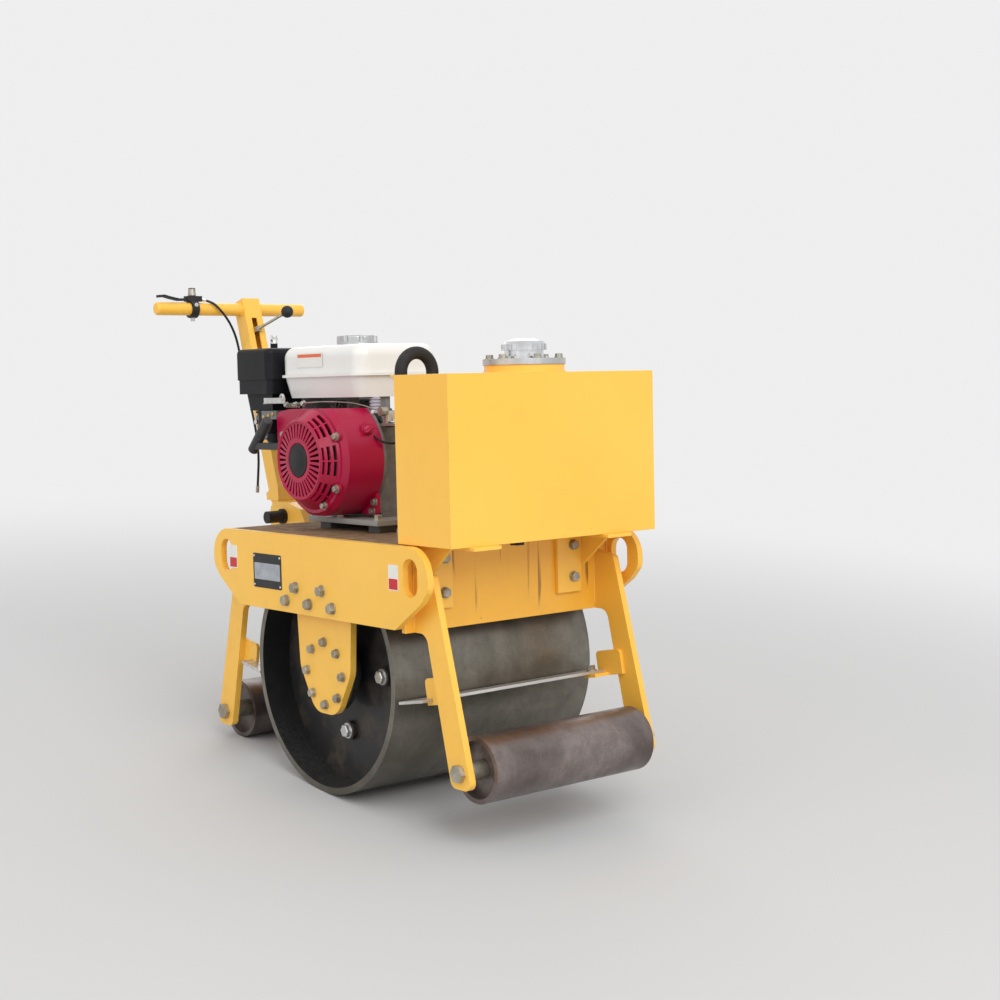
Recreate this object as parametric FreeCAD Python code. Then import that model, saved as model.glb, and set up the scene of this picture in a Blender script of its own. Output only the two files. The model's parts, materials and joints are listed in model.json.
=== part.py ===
import FreeCAD, Part

import math
import os

# Walk-behind single-drum roller with a front and a rear guide roller.
# Lengths are in millimetres. The machine is drawn level, with its origin on the ground
# below the drum's axle: -Y is the front, +Y the handle, -X the engine's fan side.
# At the end every solid is tipped back onto the rear guide roller, as it parks.

V = FreeCAD.Vector

# Drum
DRUM_RADIUS = 212.5
DRUM_HALF_WIDTH = 217.5
DRUM_SHELL = 12.0
DISC_INSET = 57.0
DISC_THICK = 10.0
MOUNT_COUNT = 4
MOUNT_CIRCLE = 109.0
MOUNT_PAD_RADIUS = 17.0
MOUNT_PAD_HEIGHT = 9.0
MOUNT_BOLT_ACROSS = 19.0
MOUNT_BOLT_HEIGHT = 7.0
SHAFT_RADIUS = 20.0

# Clearances
DRUM_SIDE_GAP = 7.0
DRUM_DECK_GAP = 19.0
DRUM_CROSS_GAP = 32.5
SCRAPER_GAP = 6.0
PIN_GAP = 0.1
STOP_GAP = 0.3

# Side plates
SIDE_THICK = 12.0
SIDE_HEIGHT = 138.0
SIDE_OVERHANG = 79.0
SIDE_CORNER = 50.0
SIDE_CHIN_RISE = 70.0
SIDE_CHIN_IN = 20.0
SIDE_KNEE_IN = 91.0
SLOT_IN = 47.0
SLOT_DOWN = 50.0
SLOT_HEIGHT = 62.0
SLOT_WIDTH = 40.0

# Deck and cross plates
DECK_THICK = 8.0
DECK_OVERHANG = 30.0
CROSS_THICK = 10.0
CROSS_DROP = 6.0

# Hanging brackets that carry the drum's bearings, each with a spacer to its side plate
SPACER_THICK = 10.0
SPACER_HALF_LENGTH = 85.0
SPACER_MARGIN = 10.0
SPACER_LIFT = 4.0
TONGUE_THICK = 12.0
TONGUE_TOP_HALF = 89.0
TONGUE_SHELL_GAP = 7.3
TONGUE_LOW_HALF = 78.0
TONGUE_END_HALF = 34.0
TONGUE_DROP = 72.5
SHAFT_END_GAP = 2.0
BEARING_FLANGE_RADIUS = 70.0
BEARING_FLANGE_THICK = 10.0
BEARING_BOSS_RADIUS = 42.0
BEARING_DISC_GAP = 6.0

# Guide rollers and their legs
GUIDE_RADIUS = 54.8
GUIDE_REACH = 152.0
GUIDE_CLEAR = 38.7
GUIDE_SIDE_GAP = 21.0
GUIDE_WALL = 8.0
GUIDE_END_THICK = 8.0
GUIDE_END_INSET = 14.0
GUIDE_HUB_RADIUS = 22.0
LEG_INSET = 31.5
LEG_THICK = 12.0
LEG_TOP_DOWN = 40.0
LEG_TOP_DEPTH = 49.0
LEG_ROOT_DEPTH = 30.0
LEG_FOOT_DROP = 26.5
LEG_FOOT_OUT = 29.5
LEG_FOOT_IN = 22.5
LEG_CORNER = 14.0
AXLE_RADIUS = 10.0
AXLE_HEAD_ACROSS = 26.0
AXLE_HEAD_HEIGHT = 9.0
BUSH_RADIUS = 16.0
BUSH_GAP = 0.3

# Scrapers
SCRAPER_DROP = 22.5
SCRAPER_THICK = 5.0
SCRAPER_DEPTH = 66.0
SCRAPER_TILT = 10.0
SCRAPER_END_IN = 2.5
ANGLE_THICK = 6.0
ANGLE_START = 50.0
ANGLE_RISE = 38.0
ANGLE_WIDTH = 40.0
ANGLE_SHELF = 28.0
ANGLE_LAP = 16.0
ANGLE_CORNER = 8.0

# Front tank
TANK_SIDE_INSET = 13.5
TANK_DECK_LAP = 16.5
TANK_DEPTH = 141.0
TANK_HEIGHT = 273.5
TANK_SEAT = 1.0
TANK_SHEET = 3.0
TANK_LID_OVERHANG = 10.0
NECK_X = -6.0
NECK_RADIUS = 67.0
NECK_HEIGHT = 13.0
NECK_BORE = 34.0
NECK_PLATE_RADIUS = 69.0
NECK_PLATE_THICK = 10.0
CAP_RADIUS = 36.7
CAP_STEM = 14.0
CAP_DOME = 20.0
CAP_RIBS = 24
CAP_RIB = 2.2
DRAIN_X = -30.0
DRAIN_FLANGE_RADIUS = 16.0
DRAIN_FLANGE_THICK = 4.0
DRAIN_ACROSS = 22.0
DRAIN_HEIGHT = 8.0
STRAP_WIDTH = 55.0
STRAP_THICK = 8.0
STRAP_LENGTH = 110.0
STRAP_SHELF = 6.0
STRAP_PROUD = 12.5
GUSSET_THICK = 6.0
GUSSET_HEIGHT = 60.0
GUSSET_DEPTH = 74.0
# Straps: side of the machine, gap between the strap's outer edge and the side plate
STRAPS = ((-1, 38.5), (1, 69.5))

# Hose from the tank's rear wall over to the deck
HOSE_RADIUS = 10.5
HOSE_TANK_GAP = 6.0
HOSE_DECK_X = -188.5
HOSE_TANK_X = -124.0
HOSE_RISE = 36.5
HOSE_TAIL = 142.0
FITTING_RADIUS = 9.0
FITTING_ACROSS = 26.0
FITTING_HEIGHT = 22.0

# Engine stand
ENGINE_Y = 92.0
STAND_RAIL = 13.0
STAND_RAIL_WIDTH = 34.0
STAND_RAIL_INSET = 16.0
STAND_PLATE = 10.0
STAND_LEFT = 130.0
STAND_RIGHT = 96.0
STAND_FRONT = 142.0
STAND_REAR = 78.0

# Engine block: the crank's height above the stand, then sizes about the crank
CRANK_HEIGHT = 106.0
CASE_HALF = 72.0
CASE_RISE = 62.0
CASE_LEFT = 78.0
CASE_RIGHT = 60.0
FOOT_HEIGHT = 8.0
FOOT_SPREAD = 12.0
CYLINDER_TILT = 25.0
BARREL_START = 66.0
BARREL_END = 140.0
BARREL_HALF = 38.0
FIN_COUNT = 7
FIN_THICK = 3.5
FIN_PROUD = 12.0
FIN_X = (-42.0, 58.0)
HEAD_LENGTH = 26.0
HEAD_HALF = 34.0
HEAD_CORNER = 8.0
PORT_X = 30.0
PORT_HALF = 16.0
PORT_RISE = 69.0
PORT_Y = 234.0
TANK_POST_WIDTH = 22.0
TANK_POST_THICK = 10.0
TANK_POST_INSET = 24.0
TANK_POST_IN = 18.0

# Fan cover and recoil starter, in distances out from the crankcase's middle and from the crank
COVER_BACK = 84.0
COVER_SHOULDER = 158.0
COVER_FACE = 168.0
COVER_RADIUS = 104.0
COVER_SLOPE = 8.0
COVER_WALL = 3.0
COVER_TOP = 90.5
COVER_BOTTOM = 101.0
# Squared rear corner: the side's distance back and its height, both from the crank
COVER_CORNER_BACK = 131.0
COVER_CORNER_RISE = 84.0
COVER_CORNER_LOW = 34.0
COVER_CORNER = 14.0
COVER_LUG = 8.0
COVER_LUG_REACH = 88.0
COVER_LUG_TOP = 62.0
COVER_BOSS_RADIUS = 13.0
COVER_BOSS_X = -112.0
COVER_BOSS_REACH = 92.0
COVER_BOSS_RISE = 52.0

# Recoil starter: a dome with three vent groups on its side and a slotted grille on its face
DOME_RADIUS = 90.0
DOME_FACE = 199.0
DOME_LIP = 72.5
DOME_SEAT = 4.0
VENT_ANGLES = (50.0, 0.0, -49.0)
# Vents: distances of a slot's two sides from the middle of the machine
VENT_SLOTS = ((194.4, 190.9), (186.8, 181.7), (177.5, 172.1))
VENT_RIB = 1.0
VENT_SPAN = 18.5
GRILLE_HUB = 31.5
GRILLE_RING = 38.0
GRILLE_DISH = 3.0
GRILLE_RIM = 68.0
GRILLE_SLOTS = 36
GRILLE_SLOT_IN = 39.5
GRILLE_SLOT_OUT = 65.0
GRILLE_SLOT_END = 1.5
GRILLE_SLOT_NARROW = 2.9
GRILLE_SLOT_WIDE = 5.4
GRIP_X = -172.0
GRIP_BACK = 168.0
GRIP_RISE = 42.0
GRIP_RADIUS = 10.0
GRIP_LENGTH = 84.0
GRIP_TILT = 45.0
GRIP_STEM_RISE = 22.0
GRIP_STEM_RADIUS = 6.0

# Fuel tank
FUEL_X = (-110.0, 70.0)
FUEL_FRONT = 70.0
FUEL_REAR = 192.0
FUEL_RISE = 110.0
FUEL_LOWER = 41.0
FUEL_UPPER = 55.0
FUEL_CORNER = 26.0
FUEL_TAPER = 8.0
FUEL_CROWN = 22.0
FUEL_SEAM = 5.0
FUEL_SEAM_OUT = 6.0
FUEL_CAP_X = -44.0
FUEL_CAP_BACK = 28.0
FUEL_CAP_RADIUS = 37.5
FUEL_CAP_HEIGHT = 17.0
FUEL_CAP_LOBES = 8
FUEL_CAP_SCALLOP = 6.0
OUTLET_X = -67.0
OUTLET_FRONT = 56.0
OUTLET_RADIUS = 10.0
OUTLET_RIBS = 4
OUTLET_LENGTH = 24.0

# Air cleaner, carburettor and engine controls
CLEANER_X = (-130.0, -24.0)
CLEANER_FRONT = 202.0
CLEANER_REAR = 325.0
CLEANER_RISE = 87.0
CLEANER_NECK = 32.0
CLEANER_TRAY_IN = 20.0
CLEANER_BASE = 27.0
CLEANER_LID = 60.0
CLEANER_CORNER = 14.0
CLEANER_ROUND = 10.0
CLEANER_STEP = 3.0
CARB_HEIGHT = 44.0
CARB_REACH = 242.0
BOWL_RADIUS = 17.0
BOWL_HEIGHT = 30.0
CHOKE_PLATE_X = -134.0
CHOKE_PLATE = 3.0
CHOKE_WIDTH = 52.0
CHOKE_HEIGHT = 16.0
CONTROL_REACH = 136.0
CONTROL_WIDTH = 42.0
CONTROL_SHEET = 4.0
CONTROL_ARM = 26.0
CONTROL_ARM_OUT = 28.0
CONTROL_KNOB_RADIUS = 8.0
CONTROL_KNOB = 10.0

# Muffler
MUFFLER_X = (-14.0, 110.0)
MUFFLER_REACH = 206.0
MUFFLER_LENGTH = 92.0
MUFFLER_HEIGHT = 84.0
MUFFLER_CORNER = 26.0
MUFFLER_SHEET = 2.5
MUFFLER_PIPE = 18.0
MUFFLER_PIPE_RADIUS = 15.0
OUTPIPE_RADIUS = 11.0
OUTPIPE_LENGTH = 14.0

# Pump on the engine's output side
BELL_RADIUS = 66.0
BELL_TAPER = 14.0
BELL_LENGTH = 60.0
PUMP_LENGTH = 76.0
PUMP_HALF_Y = 40.0
PUMP_HALF_Z = 48.0
PUMP_CORNER = 10.0

# Hinge bracket, its outline measured back and up from the hinge, with corner radii
HINGE_REACH = 150.0
HINGE_RISE = 4.0
HINGE_RADIUS = 8.0
EAR_INNER = 27.0
EAR_THICK = 9.0
EAR_DECK_GAP = 2.0
EAR_ROOT_RISE = 22.0
EAR_ROOT_DEPTH = 60.0
EAR_OUTLINE = ((50.0, -32.0, 20.0), (50.0, 28.0, 22.0), (-15.0, 28.0, 10.0), (-61.0, 16.0, 12.0),
               (-79.0, -14.0, 6.0))
EAR_COVER_THICK = 4.0
EAR_COVER_END = -9.0
STOP_DROP = 8.0
STOP_Y = (33.0, 45.0)
STOP_HEIGHT = 24.0
KNOB_RADIUS = 12.0
KNOB_LENGTH = 33.0
KNOB_COLLAR_RADIUS = 15.0
KNOB_COLLAR = 7.0
HINGE_NUT_ACROSS = 24.0
HINGE_NUT = 10.0

# Handle column, measured from the hinge
LUG_RADIUS = 20.0
COLUMN_HALF_WIDTH = 20.0
COLUMN_DEPTH = 36.0
COLUMN_WALL = 3.0
COLUMN_LEAN = 16.7
COLUMN_LENGTH = 408.2
COLUMN_FOOT_BACK = 43.0
COLUMN_FOOT_RISE = 50.0
SHOE_SIDE = 4.0
# Shoe under the column: distance back from the hinge, height above it
SHOE_OUTLINE = ((37.5, 28.3), (82.0, 29.0), (83.0, 43.0), (39.0, 61.5))
LEVER_SLOT_WIDTH = 12.0
LEVER_SLOT_FROM_TOP = 42.0
LEVER_SLOT_LENGTH = 86.0
BAR_FROM_TOP = 18.6
BAR_RADIUS = 13.0
BAR_LEFT = 212.0
BAR_RIGHT = 132.0
BAR_ROUND = 5.0
BAR_NECK = 0.5

# Levers on the handle
LEVER_FROM_TOP = 68.9
LEVER_SIDE_GAP = 0.3
LEVER_ARM = 10.0
LEVER_PIVOT_IN = 14.0
LEVER_OUT = 8.0
LEVER_ROD_RADIUS = 2.8
BALL_RADIUS = 12.5
# Ball of the travel lever: to the right of the column, ahead of its front face, up from the slot
BALL_PLACE = (47.0, 45.0, 36.0)
CLAMP_X = -129.0
CLAMP_WIDTH = 15.0
CLAMP_RADIUS = 18.0
HOUSING_X = (-143.0, -111.0)
HOUSING_HALF = 9.0
HOUSING_HEIGHT = 11.0
GRIP_LEVER_WIDTH = 12.0
GRIP_LEVER_THICK = 5.0
# Grip lever: x, height above the bar's middle
GRIP_LEVER_LINE = ((-142.0, 19.0), (-161.0, 18.5), (-179.0, 22.0), (-193.0, 25.5), (-206.0, 24.5))
ADJUSTER_RADIUS = 7.0
ADJUSTER_HEIGHT = 16.0

# Control cable, from the grip lever down behind the column's edge to its hanging end
CABLE_RADIUS = 2.5
CABLE_END_RADIUS = 3.6
CABLE_END_LENGTH = 14.0
# Route: x, distance back from the hinge, height above the hinge
CABLE_ROUTE = (
    (-114.5, 176.0, 440.0), (-92.1, 158.6, 433.3), (-78.3, 150.2, 417.3), (-60.1, 153.9, 398.7),
    (-43.0, 163.4, 379.9), (-30.4, 169.6, 357.4), (-25.4, 168.6, 331.5), (-23.8, 164.0, 305.8),
    (-21.0, 155.5, 281.0), (-21.6, 142.3, 235.0), (-21.0, 126.5, 190.0), (-21.6, 114.5, 147.0),
    (-21.2, 113.0, 109.0), (-21.5, 117.0, 76.0), (-21.4, 120.0, 56.0),
)

# Places that follow from the sizes above
SIDE_INNER = DRUM_HALF_WIDTH + DRUM_SIDE_GAP
SIDE_OUTER = SIDE_INNER + SIDE_THICK
DECK_BOTTOM = 2 * DRUM_RADIUS + DRUM_DECK_GAP
DECK_TOP = DECK_BOTTOM + DECK_THICK
SIDE_BOTTOM = DECK_TOP - SIDE_HEIGHT
CROSS_BOTTOM = SIDE_BOTTOM - CROSS_DROP
CROSS_INNER = DRUM_RADIUS + DRUM_CROSS_GAP
CROSS_FACE = CROSS_INNER + CROSS_THICK
SIDE_END = CROSS_FACE + SIDE_OVERHANG
DRUM_BORE = DRUM_RADIUS - DRUM_SHELL
TONGUE_OUTER = SIDE_INNER - SPACER_THICK
TONGUE_INNER = TONGUE_OUTER - TONGUE_THICK
TONGUE_TOP = DRUM_RADIUS + math.sqrt((DRUM_BORE - TONGUE_SHELL_GAP) ** 2 - TONGUE_TOP_HALF ** 2)
DISC_FACE = DRUM_HALF_WIDTH - DISC_INSET
LEG_OUTER = SIDE_OUTER - LEG_INSET
LEG_INNER = LEG_OUTER - LEG_THICK
GUIDE_Y = DRUM_RADIUS + GUIDE_REACH
GUIDE_Z = GUIDE_RADIUS + GUIDE_CLEAR
GUIDE_HALF_LENGTH = LEG_INNER - GUIDE_SIDE_GAP
GUIDE_END = GUIDE_HALF_LENGTH - GUIDE_END_INSET
SCRAPER_Z = DRUM_RADIUS - SCRAPER_DROP
TANK_HALF_WIDTH = SIDE_OUTER - TANK_SIDE_INSET
TANK_REAR = CROSS_FACE - TANK_DECK_LAP
TANK_FRONT = TANK_REAR + TANK_DEPTH
TANK_MIDDLE = -(TANK_REAR + TANK_FRONT) / 2
TANK_BOTTOM = DECK_TOP + TANK_SEAT
TANK_TOP = TANK_BOTTOM + TANK_HEIGHT
NECK_TOP = TANK_TOP + NECK_HEIGHT
NECK_PLATE_TOP = NECK_TOP + NECK_PLATE_THICK
HOSE_Y = -TANK_REAR + TANK_LID_OVERHANG + HOSE_TANK_GAP + HOSE_RADIUS
STAND_TOP = DECK_TOP + STAND_RAIL + STAND_PLATE
CRANK_Z = STAND_TOP + CRANK_HEIGHT
FUEL_BOTTOM = CRANK_Z + FUEL_RISE
FUEL_SEAM_Z = FUEL_BOTTOM + FUEL_LOWER
FUEL_TOP = FUEL_SEAM_Z + FUEL_UPPER
CLEANER_BOTTOM = CRANK_Z + CLEANER_RISE
CLEANER_SEAM = CLEANER_BOTTOM + CLEANER_NECK + CLEANER_BASE
CLEANER_TOP = CLEANER_SEAM + CLEANER_LID
CARB_X = (-CASE_LEFT, FIN_X[0])
HINGE_Y = CROSS_FACE + HINGE_REACH
HINGE_Z = DECK_TOP + HINGE_RISE
STOP_Z = HINGE_Z - STOP_DROP


def box(x0, x1, y0, y1, z0, z1):
    """Return a block between two corners, given in any order."""
    low = V(min(x0, x1), min(y0, y1), min(z0, z1))
    return Part.makeBox(abs(x1 - x0), abs(y1 - y0), abs(z1 - z0), low)


def rod_x(x0, x1, y, z, radius):
    """Return a round bar along X."""
    return Part.makeCylinder(radius, abs(x1 - x0), V(min(x0, x1), y, z), V(1, 0, 0))


def rod_y(x, y0, y1, z, radius):
    """Return a round bar along Y."""
    return Part.makeCylinder(radius, abs(y1 - y0), V(x, min(y0, y1), z), V(0, 1, 0))


def rod_z(x, y, z0, z1, radius):
    """Return an upright round bar."""
    return Part.makeCylinder(radius, abs(z1 - z0), V(x, y, min(z0, z1)), V(0, 0, 1))


def on_plane(axis, at, u, v):
    """Return the point (u, v) of the plane that stands at right angles to an axis."""
    if axis == "x":
        return V(at, u, v)
    if axis == "y":
        return V(u, at, v)
    return V(u, v, at)


def rounded(before, here, after, radius):
    """Return the start, middle and end of the arc that rounds a corner."""
    back = (before - here).normalize()
    ahead = (after - here).normalize()
    half = back.getAngle(ahead) / 2.0
    reach = radius / math.tan(half)
    middle = (back + ahead).normalize()
    centre = here + middle * (radius / math.sin(half))
    return here + back * reach, centre - middle * radius, here + ahead * reach


def outline_face(axis, at, corners):
    """Return a flat face whose corners are (u, v, radius), rounded by tangent arcs."""
    points = [on_plane(axis, at, corner[0], corner[1]) for corner in corners]
    count = len(points)
    spans = []
    for index, here in enumerate(points):
        radius = corners[index][2]
        if radius > 0:
            spans.append(rounded(points[index - 1], here, points[(index + 1) % count], radius))
        else:
            spans.append((here, None, here))
    edges = []
    for index, (start, middle, end) in enumerate(spans):
        following = spans[(index + 1) % count][0]
        if middle is not None:
            edges.append(Part.Arc(start, middle, end).toShape())
        if end.distanceToPoint(following) > 1e-6:
            edges.append(Part.makeLine(end, following))
    return Part.Face(Part.Wire(edges))


def plate(axis, at, thick, corners):
    """Return an outline extruded by its thickness along an axis."""
    way = {"x": V(thick, 0, 0), "y": V(0, thick, 0), "z": V(0, 0, thick)}[axis]
    return outline_face(axis, at, corners).extrude(way)


def rectangle(u0, u1, v0, v1, radius=0.0):
    """Return the corners of a rectangle with one corner radius."""
    return ((u0, v0, radius), (u1, v0, radius), (u1, v1, radius), (u0, v1, radius))


def hexagon(u, v, across):
    """Return the corners of a hexagon by its width across flats."""
    reach = across / math.sqrt(3.0)
    turns = [math.radians(60.0 * index) for index in range(6)]
    return [(u + reach * math.cos(turn), v + reach * math.sin(turn), 0.0) for turn in turns]


def spun(axis_point, way, profile):
    """Return the solid of a half section (distance along, radius) turned about an axis."""
    side = V(0, 1, 0) if abs(way.x) > 0.5 else V(1, 0, 0)
    points = [axis_point + way * along + side * radius for along, radius in profile]
    return Part.Face(Part.makePolygon(points + points[:1])).revolve(axis_point, way, 360)


def mirror_x(shape):
    """Return the piece of the other side."""
    return shape.mirror(V(0, 0, 0), V(1, 0, 0))


def turned(shape, y, z, degrees):
    """Return a shape turned about an axis along X."""
    copy = shape.copy()
    copy.rotate(V(0, y, z), V(1, 0, 0), degrees)
    return copy


def top_edges(shape, z):
    """Return the edges that lie at one height."""
    return [edge for edge in shape.Edges if abs(edge.BoundBox.ZMin - z) + abs(edge.BoundBox.ZMax - z) < 0.01]


def side_plate():
    """Return the left side plate with its two tie-down slots."""
    chin = SIDE_BOTTOM + SIDE_CHIN_RISE
    knee = SIDE_END - SIDE_KNEE_IN
    # Half outline: distance from the middle, height, corner radius
    half = ((SIDE_END, DECK_TOP, SIDE_CORNER), (SIDE_END, chin, 26.0),
            (SIDE_END - SIDE_CHIN_IN, chin - 22.0, 20.0), (knee, SIDE_BOTTOM, 8.0))
    outline = list(half) + [(-y, z, radius) for y, z, radius in reversed(half)]
    body = plate("x", -SIDE_OUTER, SIDE_THICK, outline)
    for sign in (-1, 1):
        y, z = sign * (SIDE_END - SLOT_IN), DECK_TOP - SLOT_DOWN
        slot = rectangle(y - SLOT_WIDTH / 2, y + SLOT_WIDTH / 2, z - SLOT_HEIGHT / 2, z + SLOT_HEIGHT / 2,
                         SLOT_WIDTH / 2 - 0.01)
        body = body.cut(plate("x", -SIDE_OUTER - 1, SIDE_THICK + 2, slot))
    return body


def tongue():
    """Return the left hanging bracket with its rounded lower end."""
    half = ((TONGUE_TOP_HALF, TONGUE_TOP, 6.0), (TONGUE_LOW_HALF, DRUM_RADIUS + 4.0, 40.0),
            (TONGUE_END_HALF, DRUM_RADIUS - TONGUE_DROP, 38.0))
    outline = list(half) + [(-y, z, radius) for y, z, radius in reversed(half)]
    return plate("x", -TONGUE_OUTER, TONGUE_THICK, outline)


def tongue_spacer():
    """Return the left packing block between the bracket and the side plate."""
    return box(-SIDE_INNER, -TONGUE_OUTER, -SPACER_HALF_LENGTH, SPACER_HALF_LENGTH, SIDE_BOTTOM + SPACER_LIFT,
               TONGUE_TOP - SPACER_MARGIN)


def bearing():
    """Return the left flanged bearing housing behind the bracket."""
    flange = rod_x(-TONGUE_INNER, -TONGUE_INNER + BEARING_FLANGE_THICK, 0, DRUM_RADIUS, BEARING_FLANGE_RADIUS)
    reach = -DISC_FACE - BEARING_DISC_GAP
    boss = rod_x(-TONGUE_INNER, reach, 0, DRUM_RADIUS, BEARING_BOSS_RADIUS)
    bore = rod_x(-TONGUE_INNER - 1, reach + 1, 0, DRUM_RADIUS, SHAFT_RADIUS + PIN_GAP)
    return flange.fuse(boss).cut(bore).removeSplitter()


def drum_disc():
    """Return the left drum disc with its rubber mount pads and bolts."""
    disc = rod_x(-DISC_FACE, -DISC_FACE + DISC_THICK, 0, DRUM_RADIUS, DRUM_BORE)
    pad_face = -DISC_FACE - MOUNT_PAD_HEIGHT
    for index in range(MOUNT_COUNT):
        angle = math.radians(360.0 / MOUNT_COUNT * index)
        y = MOUNT_CIRCLE * math.cos(angle)
        z = DRUM_RADIUS + MOUNT_CIRCLE * math.sin(angle)
        pad = rod_x(pad_face, -DISC_FACE, y, z, MOUNT_PAD_RADIUS)
        head = plate("x", pad_face - MOUNT_BOLT_HEIGHT, MOUNT_BOLT_HEIGHT, hexagon(y, z, MOUNT_BOLT_ACROSS))
        disc = disc.fuse([pad, head])
    return disc.cut(rod_x(-DISC_FACE - 1, -DISC_FACE + DISC_THICK + 1, 0, DRUM_RADIUS, SHAFT_RADIUS))


def drum_shell():
    """Return the drum's rolled steel shell, open at both ends."""
    outer = rod_x(-DRUM_HALF_WIDTH, DRUM_HALF_WIDTH, 0, DRUM_RADIUS, DRUM_RADIUS)
    return outer.cut(rod_x(-DRUM_HALF_WIDTH - 1, DRUM_HALF_WIDTH + 1, 0, DRUM_RADIUS, DRUM_BORE))


def drum_shaft():
    """Return the drum's shaft between the two bearings."""
    reach = TONGUE_INNER - SHAFT_END_GAP
    return rod_x(-reach, reach, 0, DRUM_RADIUS, SHAFT_RADIUS)


def leg_inner_edge(z):
    """Return the distance from the drum's axle of the leg's drum-side edge at a height."""
    foot = (GUIDE_Y - LEG_FOOT_IN, GUIDE_Z - LEG_FOOT_DROP)
    root = (CROSS_FACE + LEG_ROOT_DEPTH, CROSS_BOTTOM)
    return foot[0] + (root[0] - foot[0]) * (z - foot[1]) / (root[1] - foot[1])


def leg(sign):
    """Return the left leg of the front (-1) or rear (1) guide roller."""
    foot = GUIDE_Z - LEG_FOOT_DROP
    top = DECK_TOP - LEG_TOP_DOWN
    # Outline: distance out from the drum's axle, height, corner radius
    outline = ((CROSS_FACE, top, 0.0), (CROSS_FACE + LEG_TOP_DEPTH, top - 8.0, 6.0),
               (GUIDE_Y + LEG_FOOT_OUT, foot, LEG_CORNER), (GUIDE_Y - LEG_FOOT_IN, foot, LEG_CORNER),
               (CROSS_FACE + LEG_ROOT_DEPTH, CROSS_BOTTOM, 20.0), (CROSS_FACE, CROSS_BOTTOM, 0.0))
    body = plate("x", -LEG_OUTER, LEG_THICK, [(sign * out, z, radius) for out, z, radius in outline])
    return body.cut(rod_x(-LEG_OUTER - 1, -LEG_INNER + 1, sign * GUIDE_Y, GUIDE_Z, AXLE_RADIUS))


def axle(sign):
    """Return a guide roller's axle with its bolt heads and spacer bushes."""
    y = sign * GUIDE_Y
    bar = rod_x(-LEG_OUTER, LEG_OUTER, y, GUIDE_Z, AXLE_RADIUS)
    head = plate("x", -LEG_OUTER - AXLE_HEAD_HEIGHT, AXLE_HEAD_HEIGHT, hexagon(y, GUIDE_Z, AXLE_HEAD_ACROSS))
    bush = rod_x(-LEG_INNER, -GUIDE_END - BUSH_GAP, y, GUIDE_Z, BUSH_RADIUS)
    return bar.fuse([head, mirror_x(head), bush, mirror_x(bush)]).removeSplitter()


def guide_roller(sign):
    """Return a guide roller: a tube with recessed end plates and a hub tube."""
    y = sign * GUIDE_Y
    half = GUIDE_HALF_LENGTH
    bore = GUIDE_RADIUS - GUIDE_WALL
    tube = rod_x(-half, half, y, GUIDE_Z, GUIDE_RADIUS)
    tube = tube.cut(rod_x(-half - 1, half + 1, y, GUIDE_Z, bore))
    ends = rod_x(-GUIDE_END, GUIDE_END, y, GUIDE_Z, bore)
    ends = ends.cut(rod_x(-GUIDE_END + GUIDE_END_THICK, GUIDE_END - GUIDE_END_THICK, y, GUIDE_Z, bore + 1))
    hub = rod_x(-GUIDE_END, GUIDE_END, y, GUIDE_Z, GUIDE_HUB_RADIUS)
    hole = rod_x(-GUIDE_END - 1, GUIDE_END + 1, y, GUIDE_Z, AXLE_RADIUS + PIN_GAP)
    return tube.fuse([ends, hub]).cut(hole).removeSplitter()


def cross_plate(sign):
    """Return the front (-1) or rear (1) cross plate between the side plates."""
    return box(-SIDE_INNER, SIDE_INNER, sign * CROSS_INNER, sign * CROSS_FACE, CROSS_BOTTOM, DECK_BOTTOM)


def deck():
    """Return the deck plate that the engine stands on."""
    return box(-SIDE_INNER, SIDE_INNER, -CROSS_FACE, CROSS_FACE + DECK_OVERHANG, DECK_BOTTOM, DECK_TOP)


def scraper_edge():
    """Return the distance from the drum's axle of the scraper blade's working edge."""
    return math.sqrt((DRUM_RADIUS + SCRAPER_GAP) ** 2 - SCRAPER_DROP ** 2)


def scraper(sign):
    """Return a scraper blade, tilted so that its working edge is its lowest."""
    edge = scraper_edge()
    half = DRUM_HALF_WIDTH - SCRAPER_END_IN
    blade = box(-half, half, sign * edge, sign * (edge + SCRAPER_DEPTH), SCRAPER_Z - SCRAPER_THICK, SCRAPER_Z)
    return turned(blade, sign * edge, SCRAPER_Z, sign * SCRAPER_TILT)


def scraper_brackets(sign):
    """Return the angle brackets that hold a scraper blade to the legs."""
    edge = scraper_edge()
    under = SCRAPER_Z - SCRAPER_THICK
    near = edge + ANGLE_START
    lap = leg_inner_edge(SCRAPER_Z) + ANGLE_LAP
    wall = plate("x", -LEG_INNER, ANGLE_THICK, (
        (sign * near, under - ANGLE_THICK, 0), (sign * near, under + ANGLE_RISE, ANGLE_CORNER),
        (sign * lap, under + ANGLE_RISE, ANGLE_CORNER), (sign * lap, under - ANGLE_THICK, 0)))
    shelf = box(-LEG_INNER, -LEG_INNER + ANGLE_WIDTH, sign * near, sign * (near + ANGLE_SHELF), under - ANGLE_THICK,
                under)
    slit = box(-LEG_INNER - 1, -LEG_INNER + ANGLE_THICK + 1, sign * edge, sign * (edge + SCRAPER_DEPTH), under,
               SCRAPER_Z)
    angle = turned(wall.fuse(shelf).cut(slit).removeSplitter(), sign * edge, SCRAPER_Z, sign * SCRAPER_TILT)
    return Part.makeCompound([angle, mirror_x(angle)])


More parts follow.
